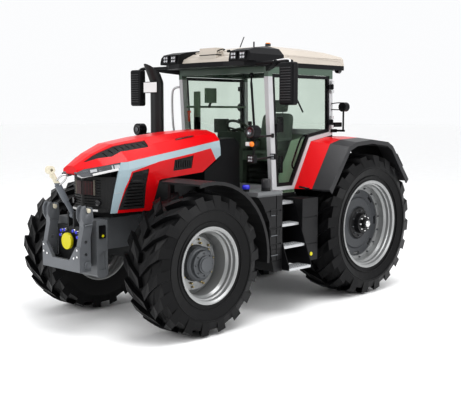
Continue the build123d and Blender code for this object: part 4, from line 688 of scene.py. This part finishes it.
# In the mouth, left and right: dark red panel, pale bar and lamp; strip on the bumper, seams in the band
for side, hand in SIDES:
    bar_piece(
        f"mouth_panel_{hand}", [at(3.6195, 0.008 * side, 1.532), at(3.5835, 0.140 * side, 1.532)], red_mesh,
        width=0.006, height=0.145, edge=0.002, body="hood")
    box_piece(
        f"mouth_bar_{hand}", at(3.566, 0.150 * side, 1.455), at(3.585, 0.166 * side, 1.618), mouth_beige,
        panel=(0.004, -0.002), body="hood")
    round_piece(
        f"mouth_lamp_{hand}", at(3.552, 0.206 * side, 1.382), at(3.588, 0.216 * side, 1.382), gloss_black,
        radius=0.032, edge=0.004, panel=(0.010, -0.006), body="hood")
    bar_piece(
        f"bumper_strip_{hand}", [at(3.6125, 0.112 * side, 1.300), at(3.583, 0.220 * side, 1.300)],
        white_plastic, width=0.010, height=0.022, body="hood")
    for i, ends in enumerate(
            (((3.430, 0.40, 1.672), (3.285, 0.42, 1.700)), ((3.488, 0.36, 1.482), (3.368, 0.38, 1.486)))):
        seam = [on_node("hood_band", at(x, y * side, z), 0.0004) for x, y, z in ends]
        bar_piece(
            f"band_seam_{hand}_{i}", seam, silver_paint, width=0.003, height=0.005, edge=0.0005,
            body="hood")

# Front linkage: cover over the drive shaft, couplers, pins, claws, bolts, side panels, handle loop
round_piece(
    "shaft_cover", at(3.796, 0, 0.985), at(3.838, 0, 0.985), yellow_plastic, radius=0.088, edge=0.010,
    panel=(0.016, -0.012), sides=40)
for i, (y, z) in enumerate(
        ((0.075, 1.095), (0.135, 1.085), (-0.075, 1.095), (-0.135, 1.085), (0.15, 1.035), (-0.15, 1.035))):
    round_piece(
        f"coupler_{i}", at(3.755, y, z), at(3.792, y, z), bright_steel, radius=0.019, edge=0.004,
        panel=(0.005, 0.004), sides=20)
    round_piece(
        f"coupler_cap_{i}", at(3.796, y, z), at(3.806, y, z), blue_plastic, radius=0.017,
        panel=(0.004, -0.002), sides=20)
for side, hand in SIDES:
    round_piece(
        f"hook_pin_{hand}", at(3.785, 0.255 * side, 1.3258), at(3.785, 0.345 * side, 1.3258), cream_paint,
        radius=0.024, edge=0.004, panel=(0.006, 0.003), body="front_yoke")
    claw = [
        (3.772, 1.200), (3.850, 1.192), (3.884, 1.255), (3.886, 1.330), (3.862, 1.378), (3.826, 1.384),
        (3.842, 1.352), (3.838, 1.306), (3.812, 1.290), (3.785, 1.304), (3.768, 1.296)]
    for near, far, label in ((0.334, 0.350, "outer"), (0.266, 0.2565, "inner")):
        plate_piece(
            f"claw_{label}_{hand}", claw, link_grey, near=near * side, far=far * side, edge=0.003,
            body="front_yoke")
    round_piece(
        f"yoke_pin_{hand}", at(3.815, 0.333 * side, 0.77), at(3.815, 0.362 * side, 0.77), link_grey,
        radius=0.038, edge=0.005, panel=(0.010, -0.004))
    for i, (y, z) in enumerate(((0.30, 0.86), (0.30, 0.93), (0.24, 0.84))):
        round_piece(
            f"yoke_bolt_{hand}_{i}", at(3.900, y * side, z), at(3.9145, y * side, z), bright_steel,
            radius=0.014, edge=0.002, panel=(0.004, 0.003), sides=6, body="front_yoke")
    box_piece(
        f"claw_guide_{hand}", at(3.742, 0.262 * side, 1.17), at(3.838, 0.346 * side, 1.19), link_grey,
        edge=0.004, face=LEFT * side, panel=(0.006, 0.003), body="front_yoke")
    box_piece(
        f"coupler_panel_{hand}", at(3.590, 0.348 * side, 1.03), at(3.672, 0.362 * side, 1.165),
        black_plastic, edge=0.004, face=LEFT * side, panel=(0.008, -0.004))
    round_piece(
        f"panel_dot_{hand}", at(3.628, 0.356 * side, 1.055), at(3.628, 0.366 * side, 1.055), yellow_plastic,
        radius=0.014, edge=0.002, panel=(0.004, -0.002), sides=20)
tube_piece(
    "link_handle",
    [at(3.955, 0.03, 1.63), at(3.905, 0.055, 1.69), at(3.850, 0.06, 1.68), at(3.862, 0.045, 1.62),
     at(3.925, 0.03, 1.578)], bright_steel, radius=0.009, body="front_link")
box_piece(
    "link_hook", at(3.965, -0.020, 1.655), at(4.005, 0.020, 1.70), cream_paint, edge=0.006,
    panel=(0.008, 0.004), body="front_link")

# Tank: filler cap, canister lid, yellow dot, pockets with ledges, the ledges painted lighter grey as a
# painted highlight
round_piece(
    "filler_neck", at(2.035, 0.885, 1.435), at(2.035, 0.885, 1.468), black_plastic, radius=0.036,
    edge=0.005, panel=(0.006, 0.003))
round_piece(
    "filler_cap", at(2.035, 0.885, 1.466), at(2.035, 0.885, 1.508), blue_plastic, radius=0.043, edge=0.010,
    panel=(0.012, 0.006))
round_piece(
    "canister_lid", at(1.829, 1.0, 1.470), at(1.829, 1.0, 1.574), charcoal_plastic, radius=0.054,
    edge=0.014, panel=(0.016, 0.005))
round_piece(
    "box_dot", at(1.085, 1.054, 0.640), at(1.085, 1.068, 0.640), yellow_plastic, radius=0.024,
    panel=(0.006, -0.002))
for i, (x, z) in enumerate(((1.745, 1.165), (1.705, 0.935), (1.695, 0.710))):
    box_piece(
        f"tank_pocket_{i}", at(x, 1.092, z), at(1.862, 1.106, z + 0.072), tank_plastic, face=LEFT,
        panel=(0.012, -0.012))
    # The ledges are lighter grey than the tank: a painted highlight on the lit foot of each pocket
    bar_piece(
        f"lit_pocket_ledge_{i}", [at(x + 0.045, 1.106, z + 0.004), at(1.858, 1.106, z + 0.004)], link_grey,
        width=0.010, height=0.009, edge=0.002)

# Steps: raised grips on the treads
for level, low, high in ((1.265, 0.79, 0.925), (1.02, 0.85, 1.015), (0.78, 0.93, 1.105), (0.535, 1.0, 1.2)):
    grip = rough_round(
        at(1.295, high - 0.024, level + 0.014), at(1.295, high - 0.024, level + 0.021), radius=0.013,
        sides=12)
    sunk_face(grip, UP, margin=0.005, depth=-0.003)
    copies_along(grip, (0.041, 0, 0), count=9)
    copies_along(grip, (0, -0.042, 0), max(2, int((high - low) / 0.045)))
    settle(grip, f"tread_grips_{int(level * 1000)}", step_metal, "chassis")

# Mirrors: ribs on the front, glass behind, pale rods
for side, hand in SIDES:
    rib = rough_box(at(1.829, 1.212 * side, 2.45), at(1.842, 1.358 * side, 2.462))
    round_edges(rib, 0.004)
    copies_along(rib, (0, 0, 0.029), count=13)
    settle(rib, f"mirror_ribs_{hand}", charcoal_plastic, "chassis")
    box_piece(
        f"mirror_glass_{hand}", at(1.729, 1.205 * side, 2.43), at(1.737, 1.365 * side, 2.83), mirror_glass,
        edge=0.002, face=-AHEAD, panel=(0.008, -0.001))
    tube_piece(
        f"mirror_rod_{hand}",
        [at(1.735, 1.02 * side, 2.888), at(1.735, 1.10 * side, 2.900), at(1.74, 1.24 * side, 2.905),
         at(1.76, 1.29 * side, 2.88), at(1.78, 1.29 * side, 2.84)], white_plastic, radius=0.009)

# Roof: lamp faces with four cells each, a black band as painted shade under the receiver, beacon


def four_cells(name, face, pitch, radius):
    """Four small round lamp cells on a dark lens, two by two."""
    first = face - Vector((0, pitch / 2, pitch / 2))
    cell = rough_round(first - AHEAD * 0.004, first + AHEAD * 0.005, radius, sides=20)
    sunk_face(cell, AHEAD, margin=radius * 0.3, depth=-0.004)
    round_edges(cell, 0.001)
    copies_along(cell, (0, pitch, 0), count=2)
    copies_along(cell, (0, 0, pitch), count=2)
    settle(cell, name, clear_lens, "chassis")


for side, hand in SIDES:
    for i, y in enumerate((0.515, 0.655)):
        box_piece(
            f"roof_lamp_{hand}_{i}", at(1.850, (y - 0.043) * side, 2.924),
            at(1.858, (y + 0.043) * side, 3.010), gloss_black, edge=0.0015, panel=(0.004, -0.002))
        four_cells(f"roof_cells_{hand}_{i}", at(1.857, y * side, 2.967), pitch=0.038, radius=0.014)
# Black band at the foot of the receiver: painted shade under the receiver
box_piece(
    "receiver_shade_band", at(1.632, -0.143, 2.995), at(1.768, 0.143, 3.004), black_plastic, edge=0.002, face=UP,
    panel=(0.004, 0.001))
for side, hand in SIDES:
    round_piece(
        f"receiver_knob_{hand}", at(1.70, 0.27 * side, 3.036), at(1.70, 0.305 * side, 3.036), black_plastic,
        radius=0.015, panel=(0.004, -0.003), sides=16)
tube_piece(
    "receiver_grip",
    [at(1.66, 0.141, 3.04), at(1.66, 0.19, 3.06), at(1.70, 0.21, 3.062), at(1.74, 0.19, 3.06),
     at(1.74, 0.141, 3.04)], black_plastic, radius=0.006)
round_piece(
    "beacon_lens", at(1.133, 0.40, 3.135), at(1.133, 0.40, 3.156), amber_lens, radius=0.030, edge=0.006,
    panel=(0.008, 0.004))

# Lamps ahead of the front pillars and on them, rear lamp faces, tail lamps
for side, hand in SIDES:
    round_piece(
        f"round_lamp_{hand}", at(2.055, 0.974 * side, 2.105), at(2.076, 0.974 * side, 2.105), gloss_black,
        radius=0.066, edge=0.010, panel=(0.020, -0.006))
    round_piece(
        f"round_lens_{hand}", at(2.066, 0.974 * side, 2.105), at(2.078, 0.974 * side, 2.105),
        lamp_reflector, radius=0.030, panel=(0.008, -0.004))
    box_piece(
        f"marker_white_{hand}", at(2.040, 0.896 * side, 1.950), at(2.058, 0.955 * side, 1.995),
        white_plastic, edge=0.004, panel=(0.006, 0.003))
    round_piece(
        f"marker_amber_{hand}", at(2.040, 0.990 * side, 1.9725), at(2.064, 0.990 * side, 1.9725),
        amber_lens, radius=0.031, edge=0.008, panel=(0.010, 0.004))
    box_piece(
        f"square_lamp_{hand}", at(2.030, 0.910 * side, 1.770), at(2.042, 1.000 * side, 1.845), gloss_black,
        edge=0.0015, panel=(0.004, -0.002))
    four_cells(f"square_cells_{hand}", at(2.041, 0.955 * side, 1.8075), pitch=0.034, radius=0.012)
    box_piece(
        f"pillar_lamp_{hand}", at(1.478, 0.790 * side, 1.775), at(1.530, 0.862 * side, 1.842),
        black_plastic, panel=(0.006, -0.003))
    four_cells(f"pillar_cells_{hand}", at(1.528, 0.826 * side, 1.8085), pitch=0.030, radius=0.011)
    round_piece(
        f"rear_lamp_face_{hand}", at(0.196, 0.884 * side, 2.386), at(0.182, 0.884 * side, 2.386),
        clear_lens, radius=0.047, panel=(0.010, -0.004))
    for label, start, finish in (("red", 1.04, red_lens), ("amber", 1.11, amber_lens)):
        spots = [
            on_node("work_lamps", at(-0.70 + 0.05 * step, (start + 0.024) * side, 1.62 + 0.058 * step),
                    0.002) for step in (0, 1, 2)]
        bar_piece(f"tail_{label}_{hand}", spots, finish, width=0.050, height=0.008, edge=0.002)

# Mirror brackets on the front pillars; bracket and wire loop at the rear pillars
for side, hand in SIDES:
    bar_piece(
        f"mirror_bracket_{hand}",
        [at(1.535, 0.755 * side, 2.822), at(1.62, 0.89 * side, 2.842), at(1.755, 1.08 * side, 2.874)],
        black_plastic, width=0.050, height=0.055, edge=0.008)
    box_piece(
        f"rear_bracket_{hand}", at(0.16, 0.757 * side, 2.135), at(0.306, 0.805 * side, 2.192),
        black_plastic, edge=0.006, face=LEFT * side, panel=(0.012, -0.020))
    for label, root_z, mid_z, tip_z in (("loop", 2.425, 2.445, 2.436), ("stay", 2.355, 2.350, 2.352)):
        wire = [at(0.33, 0.757 * side, root_z), at(0.30, 0.84 * side, mid_z), at(0.25, 0.884 * side, tip_z)]
        tube_piece(f"lamp_{label}_{hand}", wire, black_plastic, radius=0.006)

# Windscreen wiper, grab rail, orange hammer, door grips, screens
wiper_seat = on_node("cab_frame", at(1.70, 0.505, 2.765), -0.003)
wiper_top = on_node("cab_frame", at(1.70, 0.505, 2.765), 0.030)
round_piece(
    "wiper_boss", wiper_seat, wiper_top, black_plastic, radius=0.020, edge=0.004, panel=(0.006, -0.003),
    sides=20)
wiper_line = [
    on_node("windscreen", at(1.70, 0.508 + 0.03 * (2.70 - z), z), 0.014) for z in (2.66, 2.48, 2.30, 2.12)]
tube_piece(
    "wiper_arm", [wiper_top - AHEAD * 0.010, wiper_line[0] + AHEAD * 0.010, *wiper_line[1:3]],
    black_plastic, radius=0.010)
bar_piece("wiper_blade", wiper_line, rubber_seal, width=0.024, height=0.022)
tube_piece(
    "grab_rail",
    [at(1.530, -0.758, 2.64), at(1.560, -0.83, 2.64), at(1.575, -0.86, 2.56), at(1.565, -0.86, 2.20),
     at(1.545, -0.85, 2.04), at(1.50, -0.83, 1.98), at(1.478, -0.758, 1.98)], silver_paint, radius=0.014)
box_piece(
    "hammer_handle", at(1.425, -0.702, 2.20), at(1.440, -0.672, 2.32), orange_plastic, edge=0.004,
    face=LEFT, panel=(0.004, 0.002))
box_piece(
    "hammer_head", at(1.415, -0.702, 2.315), at(1.450, -0.666, 2.34), orange_plastic, edge=0.004, face=LEFT,
    panel=(0.005, 0.002))
for side, hand in SIDES:
    box_piece(
        f"door_grip_{hand}", at(1.225, 0.700 * side, 1.60), at(1.288, 0.7305 * side, 1.80), black_plastic,
        edge=0.010, face=LEFT * -side, panel=(0.010, -0.006), body=f"door_{hand}")
    tube_piece(
        f"door_rail_{hand}",
        [at(1.02, 0.728 * side, 1.64), at(1.015, 0.68 * side, 1.66), at(0.95, 0.675 * side, 1.78),
         at(0.86, 0.675 * side, 1.95), at(0.82, 0.68 * side, 2.02), at(0.81, 0.728 * side, 2.04)],
        black_plastic, radius=0.011, body=f"door_{hand}")
box_piece(
    "terminal_screen", at(1.098, -0.518, 2.075), at(1.107, -0.302, 2.222), screen_glass, face=-AHEAD,
    panel=(0.010, -0.002))

# Inside the cab: rail with a monitor, side panel, door locks
rail_ends = [on_node("cab_frame", at(x, -0.690, 2.39), -0.004) for x in (1.46, 0.36)]
tube_piece(
    "monitor_rail",
    [rail_ends[0], at(1.40, -0.650, 2.39), at(0.90, -0.645, 2.389), at(0.42, -0.650, 2.388), rail_ends[1]],
    sage_plastic, radius=0.014)
box_piece(
    "monitor", at(1.020, -0.622, 2.440), at(1.220, -0.596, 2.632), sage_plastic, edge=0.006, face=LEFT,
    panel=(0.014, -0.003))
round_piece(
    "monitor_stem", at(1.12, -0.640, 2.385), at(1.12, -0.609, 2.446), cab_plastic, radius=0.016,
    panel=(0.004, 0.002), sides=20)
box_piece(
    "side_panel", at(1.340, -0.672, 2.258), at(1.366, -0.566, 2.585), sage_plastic, edge=0.006, face=-AHEAD,
    panel=(0.012, -0.003))
for side, hand in SIDES:
    box_piece(
        f"door_lock_{hand}", at(1.215, 0.694 * side, 2.085), at(1.312, 0.7305 * side, 2.270), black_plastic,
        edge=0.010, face=LEFT * -side, panel=(0.016, -0.008), body=f"door_{hand}")

# Blank plate with its holder and frame on the exhaust stack
box_piece(
    "blank_plate", at(2.182, -0.691, 2.560), at(2.188, -0.449, 2.681), white_plastic, panel=(0.006, -0.001))
box_piece(
    "plate_holder", at(2.150, -0.61, 2.585), at(2.183, -0.51, 2.655), black_plastic, edge=0.004,
    panel=(0.010, 0.002))
box_piece(
    "plate_frame", at(2.176, -0.698, 2.553), at(2.184, -0.442, 2.688), black_plastic, edge=0.002,
    panel=(0.004, -0.001))

# Red fender: black slot at its foot
for side, hand in SIDES:
    slot_line = [on_node("rear_fenders", at(1.03, y * side, 1.43), 0.001) for y in (0.815, 0.89, 0.965)]
    bar_piece(f"fender_slot_{hand}", slot_line, gloss_black, width=0.012, height=0.022)

# Seat: ribbed base, cushion, back, head pad and arm pads
BELLOWS_LOW = 1.362
BELLOWS_HIGH = 1.70
FOLDS = 10
bellows = rough_box(at(0.56, -0.18, BELLOWS_LOW), at(0.86, 0.18, BELLOWS_HIGH))
divide(FOLDS - 1)
bpy.ops.mesh.select_mode(type="VERT")
bpy.ops.mesh.select_all(action="DESELECT")
bpy.ops.object.mode_set(mode="OBJECT")
for vertex in bellows.data.vertices:
    level = round((vertex.co.z - BELLOWS_LOW) / (BELLOWS_HIGH - BELLOWS_LOW) * FOLDS)
    vertex.select = level % 2 == 1
bpy.ops.object.mode_set(mode="EDIT")
bpy.ops.transform.resize(value=(0.88, 0.88, 1.0), center_override=at(0.71, 0, 1.53))
bpy.ops.object.mode_set(mode="OBJECT")
settle(bellows, "seat_bellows", rubber_seal, "chassis", angle=25.0)
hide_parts("seat")

# Padding: how far a pad's corners pull in from its crowned middle
PAD_CORE = 0.86
CORNER_PULL = 0.5


def cushion(name, low, high, lean, crown):
    """A padded form: a box divided and softened, fuller in the middle than at its corners."""
    pad = rough_box(low, high)
    divide(3)
    bpy.ops.object.mode_set(mode="OBJECT")
    middle = (low + high) / 2
    size = high - low
    for vertex in pad.data.vertices:
        share = Vector([(vertex.co[i] - middle[i]) / (abs(size[i]) / 2) for i in range(3)])
        full = 1.0 - CORNER_PULL * share.length_squared / 3.0
        vertex.co = middle + (vertex.co - middle) * (PAD_CORE + crown * full)
        vertex.co.x -= lean * (vertex.co.z - low.z)
    soft = pad.modifiers.new("soft", "SUBSURF")
    soft.levels = 2
    soft.render_levels = 2
    bpy.ops.object.modifier_apply(modifier=soft.name)
    settle(pad, name, seat_cloth, "chassis", angle=60.0)


cushion("seat_cushion", at(0.50, -0.25, 1.70), at(0.98, 0.25, 1.83), lean=0.0, crown=0.16)
cushion("seat_back", at(0.49, -0.24, 1.79), at(0.61, 0.24, 2.31), lean=0.15, crown=0.16)
cushion("head_pad", at(0.435, -0.14, 2.32), at(0.515, 0.14, 2.48), lean=0.15, crown=0.16)
for side, hand in SIDES:
    cushion(
        f"arm_pad_{hand}", at(0.55, 0.262 * side, 1.95), at(0.86, 0.322 * side, 2.00), lean=0.0, crown=0.14)
    bar_piece(
        f"arm_bracket_{hand}",
        [at(0.525, 0.205 * side, 1.94), at(0.575, 0.280 * side, 1.962), at(0.72, 0.292 * side, 1.966)],
        cab_plastic, width=0.030, height=0.018, edge=0.004)
for side, hand in SIDES:
    tube_piece(
        f"head_post_{hand}",
        [at(0.475, 0.07 * side, 2.25), at(0.470, 0.07 * side, 2.31), at(0.463, 0.07 * side, 2.37)],
        bright_steel, radius=0.008)

# Roof: ribs along the sides, lamps under the rear corners
for side, hand in SIDES:
    for i, (front_z, rear_z) in enumerate(((3.000, 2.955), (3.040, 2.985))):
        rib = [
            on_node("roof_panel", at(x, 0.80 * side, front_z + (rear_z - front_z) * share), 0.0005)
            for x, share in ((1.235, 0.0), (0.70, 0.45), (0.16, 1.0))]
        bar_piece(
            f"roof_rib_{hand}_{i}", rib, roof_paint, width=0.006, height=0.007, edge=0.001)
    round_piece(
        f"corner_lamp_{hand}", at(0.150, 0.700 * side, 2.852), at(0.087, 0.700 * side, 2.846), gloss_black,
        radius=0.036, edge=0.006, panel=(0.010, -0.005))

# Right side: cover and handles on the tank
box_piece(
    "side_cover", at(1.12, -1.052, 0.86), at(1.70, -1.068, 1.30), tank_plastic, edge=0.006, face=-LEFT,
    panel=(0.03, -0.005))
for i, x in enumerate((1.22, 1.60)):
    tube_piece(
        f"cover_handle_{i}",
        [at(x - 0.06, -1.064, 1.22), at(x - 0.055, -1.088, 1.22), at(x, -1.092, 1.22),
         at(x + 0.055, -1.088, 1.22), at(x + 0.06, -1.064, 1.22)], bright_steel, radius=0.007)

# Rear: wiper and blank plate
rear_seat = on_node("cab_frame", at(0.0, 0.02, 2.79), -0.003)
rear_top = on_node("cab_frame", at(0.0, 0.02, 2.79), 0.026)
round_piece(
    "rear_wiper_boss", rear_seat, rear_top, black_plastic, radius=0.018, edge=0.004, panel=(0.006, -0.003),
    sides=20)
rear_line = [
    on_node("rear_window", at(0.0, y, z), 0.010) for y, z in ((0.06, 2.68), (0.17, 2.50), (0.28, 2.32))]
tube_piece("rear_wiper", [rear_top + AHEAD * 0.008, *rear_line], black_plastic, radius=0.008)
bar_piece("rear_blade", rear_line, rubber_seal, width=0.018, height=0.016)
wall_x = on_node("cab_floor", at(0.0, 0.0, 1.80), 0.0).x + MID_X
box_piece(
    "rear_plate_holder", at(wall_x - 0.014, -0.24, 1.74), at(wall_x + 0.002, 0.24, 1.88), black_plastic,
    edge=0.004, face=-AHEAD, panel=(0.008, -0.003))
box_piece(
    "rear_blank_plate", at(wall_x - 0.018, -0.215, 1.76), at(wall_x - 0.010, 0.215, 1.86), white_plastic,
    edge=0.002, face=-AHEAD, panel=(0.006, -0.001))

# Rear: bank of couplers on its foot
box_piece(
    "coupler_bank", at(-0.352, -0.24, 1.36), at(-0.30, 0.24, 1.47), black_plastic, edge=0.006, face=-AHEAD,
    panel=(0.012, -0.006))
for i in range(8):
    y = -0.20 + 0.0571 * i
    round_piece(
        f"rear_coupler_{i}", at(-0.345, y, 1.415), at(-0.385, y, 1.415), bright_steel, radius=0.018,
        edge=0.004, panel=(0.005, -0.004), sides=20)
box_piece(
    "bank_foot", at(-0.335, -0.10, 1.18), at(-0.31, 0.10, 1.37), dark_cast, edge=0.004, face=-AHEAD,
    panel=(0.02, -0.004))

# Pale floor and soft light
bpy.ops.mesh.primitive_plane_add(size=240.0, location=(0, 0, 0))
floor = bpy.context.object
floor.name = "floor"
floor.data.materials.append(
    surface("pale_floor", (0.985, 0.985, 0.98), rough=0.75, grain=8.0, spread=0.02, bump=0.0))


def soft_light(name, place, target, size, power):
    """A large square lamp turned towards a point."""
    bpy.ops.object.light_add(type="AREA", location=place)
    lamp = bpy.context.object
    lamp.name = name
    lamp.data.shape = "SQUARE"
    lamp.data.size = size
    lamp.data.energy = power
    lamp.rotation_euler = (Vector(target) - Vector(place)).to_track_quat("-Z", "Y").to_euler()


soft_light("key_light", (1.0, 3.0, 9.5), (0, 0, 1.2), size=6.0, power=640.0)
soft_light("fill_light", (9.0, -2.0, 4.5), (0.5, 0, 1.2), size=4.0, power=240.0)
soft_light("side_light", (-3.0, 9.0, 4.0), (-0.5, 0, 1.2), size=4.0, power=260.0)
world = bpy.data.worlds.new("pale_room")
bpy.context.scene.world = world
world.use_nodes = True
preset(world.node_tree.nodes["Background"], {"Color": (0.985, 0.99, 1.0, 1.0), "Strength": 0.99})

bpy.context.scene.view_settings.view_transform = "Standard"
bpy.context.scene.view_settings.gamma = 0.86

# Camera in front and to the left
bpy.ops.object.camera_add(
    location=at(8.782, 7.218, 2.334), rotation=(math.radians(83.7604), 0.0, math.radians(134.2564)))
camera = bpy.context.object
camera.data.lens = 64.89
camera.data.sensor_width = 36.0
bpy.context.scene.camera = camera
